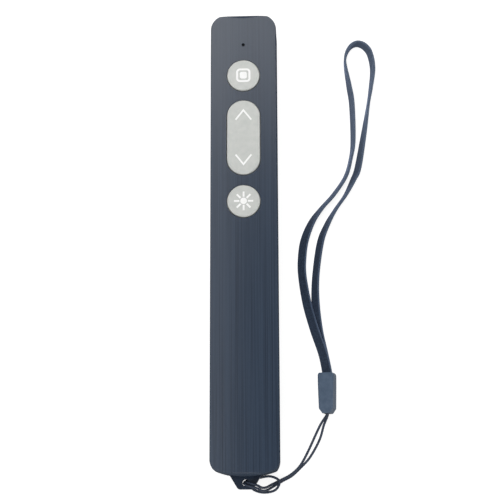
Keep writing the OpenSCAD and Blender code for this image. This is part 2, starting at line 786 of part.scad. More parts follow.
module contact_plate(y) {
    block([-contact_w / 2, y, door_z + door_t + 2], [contact_w / 2, y + contact_t, cheek_top_z]);
}

// Each contact has a tab over the compartment's walls, where its lead is soldered.
module positive_contact() {
    color("#c6c2b0") {
        contact_plate(contact_y);
        translate([positive_tab_x, contact_y, 0])
            block([-tab_w / 2, 0, cheek_top_z - 1], [tab_w / 2, contact_t, cheek_top_z + tab_h]);
    }
}

module negative_contact() {
    color("#c6c2b0") {
        contact_plate(compartment_y);
        block([-negative_tab_x - tab_w / 2, compartment_y, cheek_top_z],
            [-contact_w / 2 + tab_w, compartment_y + contact_t, cheek_top_z + tab_h]);
        block([-contact_w / 2, compartment_y, cheek_top_z - 1],
            [-contact_w / 2 + tab_w, compartment_y + contact_t, cheek_top_z + tab_h]);
    }
}

// The coil of the negative contact, as one tube with closed flat ends.
spring_r = 2.7;
spring_sides = 6;
spring_steps = 12;

function coil_point(i, n) = let (turn = i / spring_steps, rise = (spring_l - spring_wire - 0.1) * i / n)
    [spring_r * cos(360 * turn), spring_wire / 2 + 0.02 + rise, spring_r * sin(360 * turn)];

module contact_spring() {
    n = spring_turns * spring_steps;
    path = [for (i = [0:n]) coil_point(i, n)];
    rings = [for (i = [0:n]) let (out = [cos(360 * i / spring_steps), 0, sin(360 * i / spring_steps)])
        [for (k = [0:spring_sides - 1]) let (a = 360 * k / spring_sides)
            path[i] + spring_wire / 2 * (cos(a) * out + sin(a) * [0, 1, 0])]];
    color("#cfd2d4") translate([0, spring_y, cell_z]) skin(rings);
}

// A lead from a contact's tab, along the casing and down to its pad on the board.
module battery_lead(x, y) {
    z = cheek_top_z + tab_h / 2;
    wire([[x, y, z], [x, pad_y, z], [x, pad_y, board_top_z]], lead_d);
}

module positive_lead() {
    color("#a03030") battery_lead(positive_tab_x, contact_y + contact_t);
}

module negative_lead() {
    color("#1c1e22") battery_lead(-negative_tab_x, compartment_y + contact_t);
}

// ---------------------------------------------------------------- USB receiver

module receiver_grip() {
    color("#22272e") translate([0, grip_y, back_recess]) difference() {
        intersection() {
            linear_extrude(grip_t) translate([0, grip_l / 2]) rounded_rect(grip_w, grip_l, 1.2);
            translate([0, grip_l / 2, grip_t / 2]) rotate([90, 0, 0]) linear_extrude(2 * grip_l, center = true)
                rounded_rect(grip_w, grip_t, 1.2);
        }
        for (z = [0, grip_t], i = [0:2]) translate([0, 1.8 + 1.3 * i, z]) rotate([0, 90, 0])
            cylinder(r = 0.25, h = grip_w - 4, center = true);
    }
}

module receiver_plug() {
    color("#c4c7ca") translate([0, plug_y, plug_z]) difference() {
        rotate([-90, 0, 0]) linear_extrude(plug_l) rounded_rect(plug_w, plug_h, 0.5);
        translate([0, -1, 0]) rotate([-90, 0, 0]) linear_extrude(plug_l + 2)
            rounded_rect(plug_w - 2 * plug_wall, plug_h - 2 * plug_wall, 0.3);
        for (x = [-1, 1]) translate([x * 2.6, 5.5, 0]) cube([2, 2, 2 * plug_h], center = true);
    }
}

module receiver_tongue() {
    half_w = plug_w / 2 - plug_wall - 0.3;
    color("#f0f0ec") block([-half_w, plug_y, plug_z - plug_h / 2 + plug_wall],
        [half_w, plug_y + plug_l - 0.4, plug_z - 0.1]);
}

module receiver_contacts() {
    color("#d9b24a") for (x = [-3.5, -1, 1, 3.5])
        block([x - 0.5, plug_y + 2, plug_z - 0.1], [x + 0.5, plug_y + plug_l - 1.6, plug_z + 0.05]);
}

// ---------------------------------------------------------------- screws

module case_screw() {
    difference() {
        union() {
            translate([0, 0, head_z]) cylinder(d = screw_head_d, h = screw_head_h);
            translate([0, 0, head_z + screw_head_h - eps]) cylinder(d = screw_d, h = screw_l + eps);
        }
        for (a = [0, 90]) rotate([0, 0, a]) translate([0, 0, head_z]) cube([2, 0.45, 1.2], center = true);
    }
}

module case_screws() {
    color("#3a3d42") for (p = screw_places) translate([p.x, p.y, 0]) case_screw();
}

// ---------------------------------------------------------------- wrist strap

// Half the lug's outline past the tail: a straight taper into a round corner.
module lug_half_outline(w, end_w, reach) {
    side = norm([(w - end_w) / 2, reach]);
    out = [reach, -(w - end_w) / 2] / side;
    corner = [end_w / 2 - lug_corner_r * (1 + out.y) / out.x, lug_corner_r - reach];
    translate(corner) circle(lug_corner_r);
    polygon([[-eps, 0], [-eps, -reach], [corner.x, -reach], corner + lug_corner_r * out, [w / 2, 0]]);
}

// The lug: a plate clamped inside the tail, a neck in the slot and a tapered eye outside.
module lanyard_lug() {
    color("#14171b") difference() {
        union() {
            block([-lug_plate_w / 2, lug_plate_y, lug_z], [lug_plate_w / 2, compartment_y - cheek_t - lug_play, lug_top_z]);
            block([-lug_w / 2, lug_root_y - eps, lug_z], [lug_w / 2, lug_plate_y + 1, lug_top_z]);
            translate([0, lug_root_y, lug_z]) linear_extrude(lug_t)
                for (side = [0, 1]) mirror([side, 0]) lug_half_outline(lug_w, lug_end_w, lug_root_y - tail_y + lug_reach);
        }
        translate([0, tail_y - eye_from_tail, 0]) cylinder(d = eye_d, h = body_t);
        translate([0, tail_screw_y, 0]) cylinder(d = screw_d + 0.5, h = body_t);
    }
}

// Where the bead lies, and how far it is rolled on its long edge.
bead_x = 25.4;
bead_top_y = -40;
bead_roll = 17;
bead_z = (bead_w / 2 - bead_edge_r) * sin(bead_roll) + (bead_t / 2 - bead_edge_r) * cos(bead_roll) + bead_edge_r + 0.02;
slot_depth = 2.4;
slot_w = web_w + 0.3;
slot_t = 2 * web_t + 0.4;
string_hole_d = 2 * string_d + 0.5;
string_hole_depth = 2.5;

module bead_frame() {
    translate([bead_x, bead_top_y, bead_z]) rotate([0, -bead_roll, 0]) children();
}

module strap_bead() {
    color("#4a5664") bead_frame() difference() {
        intersection() {
            rotate([90, 0, 0]) linear_extrude(bead_l) rounded_rect(bead_w, bead_t, bead_edge_r);
            translate([0, 0, -bead_t]) linear_extrude(2 * bead_t)
                polygon([[-bead_w / 2 + 0.5, 0], [-bead_w / 2, -0.7], [-bead_end_w / 2, -bead_l + 1.5],
                    [-bead_end_w / 2 + 1.1, -bead_l], [bead_end_w / 2 - 1.1, -bead_l],
                    [bead_end_w / 2, -bead_l + 1.5], [bead_w / 2, -0.7], [bead_w / 2 - 0.5, 0]]);
        }
        translate([-slot_w / 2, -slot_depth, -slot_t / 2]) cube([slot_w, 5, slot_t]);
        translate([0, -bead_l - 1, 0]) rotate([-90, 0, 0]) cylinder(d = string_hole_d, h = string_hole_depth + 1);
    }
}

// A closed tube through a list of rings with the same number of points each.
module skin(rings) {
    n = len(rings);
    k = len(rings[0]);
    points = [for (ring = rings, p = ring) p];
    sides = [for (i = [0:n - 2], j = [0:k - 1]) let (a = i * k + j, b = i * k + (j + 1) % k)
        each [[a, b, b + k], [a, b + k, a + k]]];
    first = [for (j = [1:k - 2]) [0, j + 1, j]];
    last = [for (j = [1:k - 2]) [(n - 1) * k, (n - 1) * k + j, (n - 1) * k + j + 1]];
    polyhedron(points, concat(sides, first, last), convexity = 10);
}

function unit(v) = v / norm(v);
function along(route, i) = unit(route[min(i + 1, len(route) - 1)] - route[max(i - 1, 0)]);

// The string: out of the bead, over the lug, down its eye, round and over both strands as a hitch,
// up the eye and back over the lug into the bead.
string_route = [
    [25.27, -50.1, 2.96], [25.27, -52.7, 2.96], [22.9, -56.3, 0.55], [19.2, -64.0, 0.45], [16.65, -68.5, 1.2],
    [13.9, -71.1, 1.2], [11.3, -72.5, 1.25], [9.1, -73.6, 1.75], [7.6, -74.4, 3.0], [6.2, -75.2, 4.6],
    [4.9, -75.3, 6.3], [3.7, -74.7, 7.4], [0.55, -73.75, 7.5], [0.45, -73.8, 4.8], [0.7, -74.2, 3.7],
    [2.4, -75.8, 3.2], [4.9, -76.6, 2.9], [7.6, -76.4, 2.4], [9.3, -75.6, 2.2], [10.3, -73.9, 2.5],
    [9.9, -72.7, 2.5], [7.6, -71.75, 2.6], [5.0, -72.0, 2.9], [0.1, -73.2, 3.4], [-0.45, -73.8, 4.8],
    [-0.4, -74.1, 7.2], [0.3, -74.6, 7.6], [3.7, -75.6, 7.2], [5.0, -76.2, 5.9], [6.4, -76.0, 4.0],
    [7.9, -75.1, 2.3], [9.3, -74.2, 1.1], [11.5, -72.9, 0.5], [14.1, -71.5, 0.45], [16.95, -68.9, 0.45],
    [19.8, -65.8, 0.45], [22.8, -60.5, 0.45], [24.2, -56.0, 0.5], [25.53, -52.7, 2.13], [25.53, -50.1, 2.13]];
string_sides = 8;

// Carries one ring's direction on to the next without twisting.
function carried(route, i) = i == 0 ? unit(cross(along(route, 0), [0, 0, 1]))
    : let (t = along(route, i), before = carried(route, i - 1)) unit(before - t * (before * t));

module strap_string() {
    rings = [for (i = [0:len(string_route) - 1]) let (t = along(string_route, i), u = carried(string_route, i), v = cross(t, u))
        [for (k = [0:string_sides - 1]) let (a = 360 * k / string_sides)
            string_route[i] + string_d / 2 * (cos(a) * u + sin(a) * v)]];
    color("#20262e") skin(rings);
}

// The webbing: x, y, roll of the band in degrees, and lift above lying on its edge.
web_route = [
    [25.31, -42.3, 17, 2.1], [25.31, -39.4, 17, 2.1], [24.1, -33.4, 26, 1.37], [21.7, -26.0, 28, 0.55],
    [19.5, -17.6, 28, 0.15], [18.1, -8.6, 37, 0], [18.1, -2.7, 33, 0], [19.0, 3.2, 35, 0], [21.4, 9.1, 50, 0],
    [24.7, 13.7, 66, 0], [28.5, 18.0, 68, 0], [32.5, 24.0, 72, 0], [34.3, 30.0, 77, 0], [35.2, 36.2, 70, 0],
    [35.1, 48.6, 66, 0], [34.3, 54.9, 69, 0], [33.2, 62.2, 87, 0], [33.3, 65.4, 91, 0], [34.2, 67.8, 93, 0],
    [35.7, 69.4, 98, 0], [37.6, 69.9, 106, 0], [39.7, 68.9, 114, 0], [41.4, 66.3, 115, 0], [42.2, 60.8, 112, 0],
    [41.3, 53.6, 103, 0], [40.4, 48.4, 98, 0], [38.7, 38.2, 116, 0], [36.6, 27.0, 128, 0], [35.0, 23.0, 122, 0],
    [32.4, 17.9, 108, 0], [29.0, 13.0, 108, 0], [26.2, 8.0, 121, 0], [24.0, 2.1, 130, 0], [22.4, -8.7, 131, 0],
    [22.2, -17.5, 140, 0], [22.95, -26.0, 154, 0.1], [24.4, -33.4, 154, 0.72], [25.49, -39.4, 163, 1.52],
    [25.49, -42.3, 163, 1.52]];

function web_point(i) = let (p = web_route[i])
    [p[0], p[1], web_w / 2 * abs(sin(p[2])) + web_t / 2 * abs(cos(p[2])) + 0.03 + p[3]];

module wrist_webbing() {
    c = 0.15;
    h = web_t / 2;
    section = [[-web_w / 2, -h + c], [-web_w / 2 + c, -h], [web_w / 2 - c, -h], [web_w / 2, -h + c],
        [web_w / 2, h - c], [web_w / 2 - c, h], [-web_w / 2 + c, h], [-web_w / 2, h - c]];
    centre = [for (i = [0:len(web_route) - 1]) web_point(i)];
    rings = [for (i = [0:len(centre) - 1]) let (t = along(centre, i), side = unit(cross(t, [0, 0, 1])), up = cross(side, t),
            r = web_route[i][2], wide = cos(r) * side + sin(r) * up, thick = cross(wide, t))
        [for (s = section) centre[i] + s.x * wide + s.y * thick]];
    color("#39434f") skin(rings);
}

front_shell();
rear_shell();
blank_button();
page_rocker();
laser_button();
blank_plunger();
rocker_plungers();
laser_plunger();
key_switches();
switch_covers();
circuit_board();
board_chips();
rocker_pivot();
status_light();
light_guide();
laser_barrel();
laser_lens();
laser_window();
laser_leads();
power_knob();
power_switch_base();
power_switch_lever();
battery_door();
battery_can();
battery_nub();
positive_contact();
negative_contact();
contact_spring();
positive_lead();
negative_lead();
receiver_grip();
receiver_plug();
receiver_tongue();
receiver_contacts();
case_screws();
lanyard_lug();
strap_bead();
strap_string();
wrist_webbing();
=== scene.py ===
# %% [markdown]
# # A presentation clicker and its wrist strap
# The clicker lies on its back, seen almost from above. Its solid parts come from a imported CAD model,
# which stays as it is. This script adds what CAD is poor at: the woven strap, the twisted string,
# the printed symbols, and a finish for every part.

import math

import bmesh
import bpy
from mathutils import Matrix, Vector


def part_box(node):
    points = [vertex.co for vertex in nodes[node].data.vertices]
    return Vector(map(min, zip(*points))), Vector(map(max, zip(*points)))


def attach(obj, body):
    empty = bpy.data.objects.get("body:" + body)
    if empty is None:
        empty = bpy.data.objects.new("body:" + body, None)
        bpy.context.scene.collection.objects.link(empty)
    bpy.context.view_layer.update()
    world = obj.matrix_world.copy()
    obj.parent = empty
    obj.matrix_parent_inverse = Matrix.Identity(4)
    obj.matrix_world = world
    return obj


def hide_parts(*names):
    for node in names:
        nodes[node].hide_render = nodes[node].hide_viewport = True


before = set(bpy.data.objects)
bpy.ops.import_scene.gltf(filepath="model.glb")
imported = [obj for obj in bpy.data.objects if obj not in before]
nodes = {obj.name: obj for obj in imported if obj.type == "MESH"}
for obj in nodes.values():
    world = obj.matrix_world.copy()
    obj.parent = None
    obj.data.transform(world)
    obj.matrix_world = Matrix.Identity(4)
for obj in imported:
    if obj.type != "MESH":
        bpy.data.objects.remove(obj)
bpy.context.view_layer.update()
MM = 0.001  # sizes below are in millimetres unless a comment says otherwise; Blender's unit is the metre

# %% [markdown]
# ## The camera
# The photograph was taken from above, a little from the tail's side and a hair from the right. That is
# why the tip looks slightly narrower than the tail. Four numbers give such a view: how far the camera
# tilts off the vertical, how far it leans sideways, how far it turns round its own axis, and how far
# away it is. The lens is to the sensor as the focal length in pixels is to the picture's width.

# %% Camera
LOOK_AT = Vector((1.94, -2.75, 13.8)) * MM  # the point in the middle of the picture
DISTANCE = 400 * MM
TILT, LEAN, TURN = math.radians(13), math.radians(2.5), math.radians(-0.2)
FOCAL_PX, PICTURE_PX = 1284, 500
SENSOR = 36
NEAREST = 10 * MM  # the camera draws nothing that is closer


def put(name, data):
    """A new object in the scene."""
    made = bpy.data.objects.new(name, data)
    bpy.context.scene.collection.objects.link(made)
    return made


back = Vector((math.sin(LEAN) * math.cos(TILT), -math.sin(TILT), math.cos(LEAN) * math.cos(TILT)))
sideways = Vector((0, 1, 0)).cross(back).normalized()
right = math.cos(TURN) * sideways + math.sin(TURN) * back.cross(sideways)
upward = back.cross(right)

camera = put("camera", bpy.data.cameras.new("camera"))
camera.data.sensor_width = SENSOR
camera.data.lens = SENSOR * FOCAL_PX / PICTURE_PX
camera.data.clip_start = NEAREST
axes = Matrix((right, upward, back)).transposed().to_4x4()
camera.matrix_world = Matrix.Translation(LOOK_AT + back * DISTANCE) @ axes
bpy.context.scene.camera = camera
print("lens in mm:", round(camera.data.lens, 1))

# %% [markdown]
# ## A smooth line through chosen points
# A strap or a string is first a line in space. The line passes through a few given points, and a
# Catmull-Rom spline rounds it between them: it goes through each point in the direction from the point
# before to the point after. The same blend works for any number that travels along the line, such as
# a band's roll. The rows are then spaced out evenly, so that the faces made from them are alike.

# %% Smooth line
PER_SPAN = 12  # rows on the spline for each chosen point
TINY = 1e-9  # keeps a stretch without length from dividing by zero


def smooth(points):
    """The points again with more rows, each between its neighbours on a Catmull-Rom spline."""
    rows = [points[0], *points, points[-1]]
    out = []
    for a, b, c, d in zip(rows, rows[1:], rows[2:], rows[3:]):
        for i in range(PER_SPAN):
            t = i / PER_SPAN
            out.append([
                0.5 * (2 * q + t * (r - p) + t * t * (2 * p - 5 * q + 4 * r - s)
                       + t * t * t * (3 * q - p - 3 * r + s))
                for p, q, r, s in zip(a, b, c, d)
            ])
    return [*out, list(points[-1])]


def evenly(rows, step):
    """The rows again, about one step apart along their first three numbers."""
    lengths = [0.0]
    for a, b in zip(rows, rows[1:]):
        lengths.append(lengths[-1] + math.dist(a[:3], b[:3]))
    count, at, out = max(2, round(lengths[-1] / step)), 0, []
    for i in range(count + 1):
        target = lengths[-1] * i / count
        while at < len(rows) - 2 and lengths[at + 1] < target:
            at += 1
        t = (target - lengths[at]) / max(lengths[at + 1] - lengths[at], TINY)
        out.append([p + t * (q - p) for p, q in zip(rows[at], rows[at + 1])])
    return out


print("10 mm in steps of 2.5:", [row[0] for row in evenly([[0, 0, 0], [10, 0, 0]], 2.5)])

# %% [markdown]
# ## The wrist webbing's route
# The strap is a flat woven tape, 3 mm wide, folded into one long loop whose two ends go into the bead.
# A flat tape can't turn in its own plane without twisting. So it leaves the bead nearly flat, rolls up
# until it stands on its edge at the far end of the loop, and rolls on to come back with its other face
# up. The roll of the band is therefore part of the route. The CAD model's plain tape follows the same
# points. The weft threads, which cross the tape from side to side, lie about 0.3 mm apart. They are
# drawn twice as coarse, so that they show.

# %% Webbing's route
WEB_WIDTH, WEB_THICK = 3.0, 0.55
WEFT_PITCH, WEFT_RELIEF = 0.6, 0.03  # the weft threads' spacing, and how far they stand out
RINGS_PER_WEFT = 3
# x, y, roll of the band in degrees, and lift above lying on the table
WEB_ROUTE = [
    [25.31, -42.3, 17, 2.1], [25.31, -39.4, 17, 2.1], [24.1, -33.4, 26, 1.37], [21.7, -26.0, 28, 0.55],
    [19.5, -17.6, 28, 0.15], [18.1, -8.6, 37, 0], [18.1, -2.7, 33, 0], [19.0, 3.2, 35, 0],
    [21.4, 9.1, 50, 0], [24.7, 13.7, 66, 0], [28.5, 18.0, 68, 0], [32.5, 24.0, 72, 0],
    [34.3, 30.0, 77, 0], [35.2, 36.2, 70, 0], [35.1, 48.6, 66, 0], [34.3, 54.9, 69, 0],
    [33.2, 62.2, 87, 0], [33.3, 65.4, 91, 0], [34.2, 67.8, 93, 0], [35.7, 69.4, 98, 0],
    [37.6, 69.9, 106, 0], [39.7, 68.9, 114, 0], [41.4, 66.3, 115, 0], [42.2, 60.8, 112, 0],
    [41.3, 53.6, 103, 0], [40.4, 48.4, 98, 0], [38.7, 38.2, 116, 0], [36.6, 27.0, 128, 0],
    [35.0, 23.0, 122, 0], [32.4, 17.9, 108, 0], [29.0, 13.0, 108, 0], [26.2, 8.0, 121, 0],
    [24.0, 2.1, 130, 0], [22.4, -8.7, 131, 0], [22.2, -17.5, 140, 0], [22.95, -26.0, 154, 0.1],
    [24.4, -33.4, 154, 0.72], [25.49, -39.4, 163, 1.52], [25.49, -42.3, 163, 1.52],
]


def web_centre(x, y, roll, lift):
    """The middle of the band, so high that its lowest edge is lifted that far off the table."""
    on_edge = math.radians(roll)
    rise = WEB_WIDTH / 2 * abs(math.sin(on_edge)) + WEB_THICK / 2 * abs(math.cos(on_edge))
    return Vector((x, y, rise + WEFT_RELIEF + lift))


web_step = WEFT_PITCH / RINGS_PER_WEFT
rows = evenly([[*web_centre(*p), p[2]] for p in smooth(WEB_ROUTE)], web_step)
line = [Vector(row[:3]) for row in rows]

# %% [markdown]
# ## Skinning a section along a line
# A tube is a row of rings, and each ring is the same section, turned to stand across the line. Rings
# joined by four-sided faces give a clean mesh that bends well. The ends are closed, as a real cut end is.


# %% Skin
def link_mesh(name, points, faces):
    """A new smooth-shaded object from points in millimetres."""
    mesh = bpy.data.meshes.new(name)
    mesh.from_pydata([Vector(p) * MM for p in points], [], faces)
    mesh.polygons.foreach_set("use_smooth", [True] * len(mesh.polygons))
    return put(name, mesh)


def skin(name, rings):
    """A closed tube through rings that have the same number of points."""
    k, n = len(rings[0]), len(rings)
    faces = [
        (i * k + j, i * k + (j + 1) % k, (i + 1) * k + (j + 1) % k, (i + 1) * k + j)
        for i in range(n - 1) for j in range(k)
    ]
    faces += [tuple(range(k - 1, -1, -1)), tuple((n - 1) * k + j for j in range(k))]
    return link_mesh(name, [p for ring in rings for p in ring], faces)


def directions(line):
    """The unit direction of the line at each point."""
    last = len(line) - 1
    return [(line[min(i + 1, last)] - line[max(i - 1, 0)]).normalized() for i in range(len(line))]


print("the webbing leaves the bead towards", [round(v, 2) for v in directions(line)[0]])

# %% [markdown]
# ## The wrist webbing
# The tape's section is fullest near its two selvedges, where the weft turns back. Every third ring
# swells a little and stands for a weft thread. The bead squeezes the tape flat, and the tape grows
# plump again within 9 mm. Each point also gets a number called outward, 0 in the middle of the tape
# and 1 at its edges, by which the tape's finish paints a highlight on its edges later.

# %% Webbing
# Half of the tape's section, from the middle outward: distance, and half the thickness there.
WEB_HALF = [(0, 0.22), (0.5, 0.22), (1.0, 0.23), (1.3, 0.27), (1.46, 0.21), (1.5, 0.12)]
WEB_PROFILE = [(-x, h) for x, h in reversed(WEB_HALF[1:])] + WEB_HALF
RIBBED_HALF = 1.2  # the threads' ribs reach this far from the middle
WEB_PLUMP, WEB_SQUEEZED = 1.45, 9.0  # how much fuller the free tape is, and over which length it grows

rings = []
for i, (centre, way, row) in enumerate(zip(line, directions(line), rows)):
    roll = math.radians(row[3])
    side = way.cross(Vector((0, 0, 1))).normalized()
    wide = math.cos(roll) * side + math.sin(roll) * side.cross(way)
    thick = wide.cross(way)
    from_end = min(i, len(rows) - 1 - i) * web_step
    plump = 1 + (WEB_PLUMP - 1) * min(1, from_end / WEB_SQUEEZED)
    swell = WEFT_RELIEF * math.cos(math.tau * i / RINGS_PER_WEFT)
    profile = [(x, plump * h + swell * (abs(x) < RIBBED_HALF)) for x, h in WEB_PROFILE]
    top = [centre + x * wide + h * thick for x, h in profile]
    under = [centre + x * wide - h * thick for x, h in reversed(profile)]
    rings.append(top + under)
webbing = skin("wrist_strap_webbing", rings)
outward = [abs(x) / (WEB_WIDTH / 2) for x, _ in [*WEB_PROFILE, *reversed(WEB_PROFILE)]]
webbing.data.attributes.new("outward", "FLOAT", "POINT").data.foreach_set("value", outward * len(rings))
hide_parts("wrist_webbing")
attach(webbing, "casing")
print("webbing:", len(rings), "rings,", len(webbing.data.polygons), "faces")

# %% [markdown]
# ## The string's route
# A thin round string joins the bead to the lug. It is one loop: both ends are held in the bead, the
# bight goes down the lug's eye, round under the lug and back up, and pulls tight as a hitch. Its points
# are the CAD model's as well. Even a thin string makes no sharp corner, so each point of its line is
# drawn a few times towards the middle of its neighbours.

# %% String's route
STRING_D, STRING_STEP = 0.8, 0.22
STRING_PASSES = 4  # rounds of softening
OFF_TABLE = 0.02  # the least gap between string and table
STRING_ROUTE = [
    [25.27, -50.1, 2.96], [25.27, -52.7, 2.96], [22.9, -56.3, 0.55], [19.2, -64.0, 0.45], [16.65, -68.5, 1.2],
    [13.9, -71.1, 1.2], [11.3, -72.5, 1.25], [9.1, -73.6, 1.75], [7.6, -74.4, 3.0], [6.2, -75.2, 4.6],
    [4.9, -75.3, 6.3], [3.7, -74.7, 7.4], [0.55, -73.75, 7.5], [0.45, -73.8, 4.8], [0.7, -74.2, 3.7],
    [2.4, -75.8, 3.2], [4.9, -76.6, 2.9], [7.6, -76.4, 2.4], [9.3, -75.6, 2.2], [10.3, -73.9, 2.5],
    [9.9, -72.7, 2.5], [7.6, -71.75, 2.6], [5.0, -72.0, 2.9], [0.1, -73.2, 3.4], [-0.45, -73.8, 4.8],
    [-0.4, -74.1, 7.2], [0.3, -74.6, 7.6], [3.7, -75.6, 7.2], [5.0, -76.2, 5.9], [6.4, -76.0, 4.0],
    [7.9, -75.1, 2.3], [9.3, -74.2, 1.1], [11.5, -72.9, 0.5], [14.1, -71.5, 0.45], [16.95, -68.9, 0.45],
    [19.8, -65.8, 0.45], [22.8, -60.5, 0.45], [24.2, -56.0, 0.5], [25.53, -52.7, 2.13], [25.53, -50.1, 2.13],
]


def relaxed(points):
    """The points again, each drawn towards its neighbours, which softens sharp bends."""
    for _ in range(STRING_PASSES):
        between = [
            [(p + 2 * q + r) / 4 for p, q, r in zip(a, b, c)]
            for a, b, c in zip(points, points[1:], points[2:])
        ]
        points = [points[0], *between, points[-1]]
    return points


line = [Vector(p) for p in relaxed(evenly(smooth(STRING_ROUTE), STRING_STEP))]
for p in line:
    p.z = max(p.z, STRING_D / 2 + OFF_TABLE)

# %% [markdown]
# ## The laid string
# A real string is laid from three yarns, and the grooves between them wind round it. So its ring isn't
# a circle but three soft lobes, and each ring is turned a little further than the one before.

# %% String
YARNS, GROOVE = 3, 0.16  # the grooves' depth is a share of the string's radius
STRING_LAY = 2.6  # the length in which a yarn goes once round
STRING_SIDES = 18

ways = directions(line)
rings, across = [], ways[0].cross(Vector((0, 0, 1))).normalized()
for i, (centre, way) in enumerate(zip(line, ways)):
    across = (across - way * across.dot(way)).normalized()  # carried on without twisting
    other = way.cross(across)
    turned = math.tau * i * STRING_STEP / STRING_LAY
    ring = []
    for k in range(STRING_SIDES):
        a = math.tau * k / STRING_SIDES
        r = STRING_D / 2 * (1 - GROOVE + GROOVE * abs(math.cos(YARNS / 2 * (a - turned))))
        ring.append(centre + r * (math.cos(a) * across + math.sin(a) * other))
    rings.append(ring)
string = skin("strap_string_laid", rings)
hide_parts("strap_string")
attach(string, "casing")
print("string:", len(rings), "rings,", len(string.data.polygons), "faces")

# %% [markdown]
# ## Flat shapes for printing
# The symbols are white ink, pad printed on the grey keys. Two kinds of shape are enough: a stroke of
# even width along a path, and a filled patch. At a bend the stroke's two edges meet in a mitre, as a
# picture frame's sides do.

# %% Flat shapes
MITRE_LEAST = 0.3  # a sharper bend doesn't lengthen its mitre any more
CORNER_STEPS = 8


def polar(degrees, radius):
    """A flat point, by its direction and its distance from the middle."""
    return Vector((math.cos(math.radians(degrees)), math.sin(math.radians(degrees)))) * radius


def stroke(path, width, closed=False):
    """Corners of the four-sided faces of an even stroke along a flat path, with mitred corners."""
    n, edges = len(path), []
    for i, here in enumerate(path):
        before = path[(i - 1) % n] if closed or i else None
        after = path[(i + 1) % n] if closed or i < n - 1 else None
        ins = (here - before).normalized() if before is not None else (after - here).normalized()
        outs = (after - here).normalized() if after is not None else ins
        normal = Vector((-(ins + outs).y, (ins + outs).x)).normalized()
        reach = width / 2 / max(normal.dot(Vector((-ins.y, ins.x))), MITRE_LEAST)
        edges.append((here + normal * reach, here - normal * reach))
    spans = range(n if closed else n - 1)
    return [[edges[i][0], edges[i][1], edges[(i + 1) % n][1], edges[(i + 1) % n][0]] for i in spans]


def round_square(side, radius):
    """The outline of a square with round corners."""
    inset = side / 2 - radius
    return [
        Vector((sx, sy)) * inset + polar(start + 90 * i / CORNER_STEPS, radius)
        for sx, sy, start in ((1, 1, 0), (-1, 1, 90), (-1, -1, 180), (1, -1, 270))
        for i in range(CORNER_STEPS + 1)
    ]


print("a round square's outline has", len(round_square(2, 0.5)), "points")

# %% [markdown]
# ## Ink with a thickness
# Ink has a real, tiny thickness, and it moves with its key. So each symbol is a thin piece of its own
# and not a picture on the key's surface. It reaches a hair into the key, so that no gap shows.

# %% Ink
INK_PROUD, INK_DEPTH = 0.02, 0.03
SAME_PLACE = 1e-7  # in metres: corners this close become one
key_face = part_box("blank_button")[1].z / MM


def middle_of(node):
    """The middle of a node's box."""
    low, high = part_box(node)
    return (low + high) / 2 / MM


def print_ink(name, faces, node, body):
    """A thin slab of ink on a key: each face is a list of flat points, given from the key's middle."""
    middle = middle_of(node).xy
    shape = bmesh.new()
    for face in faces:
        shape.faces.new([shape.verts.new((*(p + middle) * MM, (key_face + INK_PROUD) * MM)) for p in face])
    bmesh.ops.remove_doubles(shape, verts=shape.verts, dist=SAME_PLACE)
    bmesh.ops.recalc_face_normals(shape, faces=shape.faces)
    if sum(f.normal.z * f.calc_area() for f in shape.faces) < 0:
        bmesh.ops.reverse_faces(shape, faces=shape.faces)
    made = bmesh.ops.extrude_face_region(shape, geom=shape.faces[:])
    sunk = [v for v in made["geom"] if isinstance(v, bmesh.types.BMVert)]
    bmesh.ops.translate(shape, verts=sunk, vec=(0, 0, -INK_DEPTH * MM))
    bmesh.ops.recalc_face_normals(shape, faces=shape.faces)
    mesh = bpy.data.meshes.new(name)
    shape.to_mesh(mesh)
    shape.free()
    piece = put(name, mesh)
    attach(piece, body)
    return piece


print("the keys' faces stand at", round(key_face, 2), "mm")

# %% [markdown]
# ## The three keys' symbols
# The blank key shows a screen: a round-cornered frame with a filled patch in it. The rocker has a
# chevron at each end. The laser key shows a burst: a dot and eight rays.

# %% Symbols
FRAME_SIDE, FRAME_STROKE, FRAME_RADIUS = 4.6, 0.65, 1.2
PATCH_SIDE, PATCH_RADIUS = 2.3, 0.7
CHEVRON_HALF, CHEVRON_TIP, CHEVRON_END, CHEVRON_STROKE = 2.5, 9.0, 5.8, 0.55
DOT_R, DOT_SIDES = 1.05, 36
RAYS, RAY_START, RAY_END, RAY_STROKE = 8, 1.35, 3.05, 0.6

screen = round_square(FRAME_SIDE - FRAME_STROKE, FRAME_RADIUS - FRAME_STROKE / 2)
patch = round_square(PATCH_SIDE, PATCH_RADIUS)
blank_symbol = print_ink("blank_symbol", [*stroke(screen, FRAME_STROKE, closed=True), patch],
                         "blank_button", "blank_key")
chevrons = []
for name, way in (("next_chevron", 1), ("back_chevron", -1)):
    corners = ((-CHEVRON_HALF, CHEVRON_END), (0, CHEVRON_TIP), (CHEVRON_HALF, CHEVRON_END))
    path = [Vector((x, way * y)) for x, y in corners]
    chevrons.append(print_ink(name, stroke(path, CHEVRON_STROKE), "page_rocker", "rocker_key"))
burst = [polar(360 / DOT_SIDES * i, DOT_R) for i in range(DOT_SIDES)]
rays = [[polar(360 / RAYS * i, r) for r in (RAY_START, RAY_END)] for i in range(RAYS)]
laser_symbol = print_ink("laser_symbol", [*[face for ray in rays for face in stroke(ray, RAY_STROKE)], burst],
                         "laser_button", "laser_key")
ink_pieces = [blank_symbol, *chevrons, laser_symbol]
print("ink pieces:", [p.name for p in ink_pieces])

# %% [markdown]
# ## The status light's lens
# A small light sits near the tip. A drop of smoked resin closes its hole, so that the light is a black
# dot when it is off. The drop is a short plug with a low dome, made of rings that shrink towards the top.

# %% Status lens
LENS_R, LENS_SIDES = 0.495, 32
LENS_DOME, DOME_STEPS = 0.1, 5
LENS_SUNK = 0.06  # how far the dome's top lies under the casing's highest point

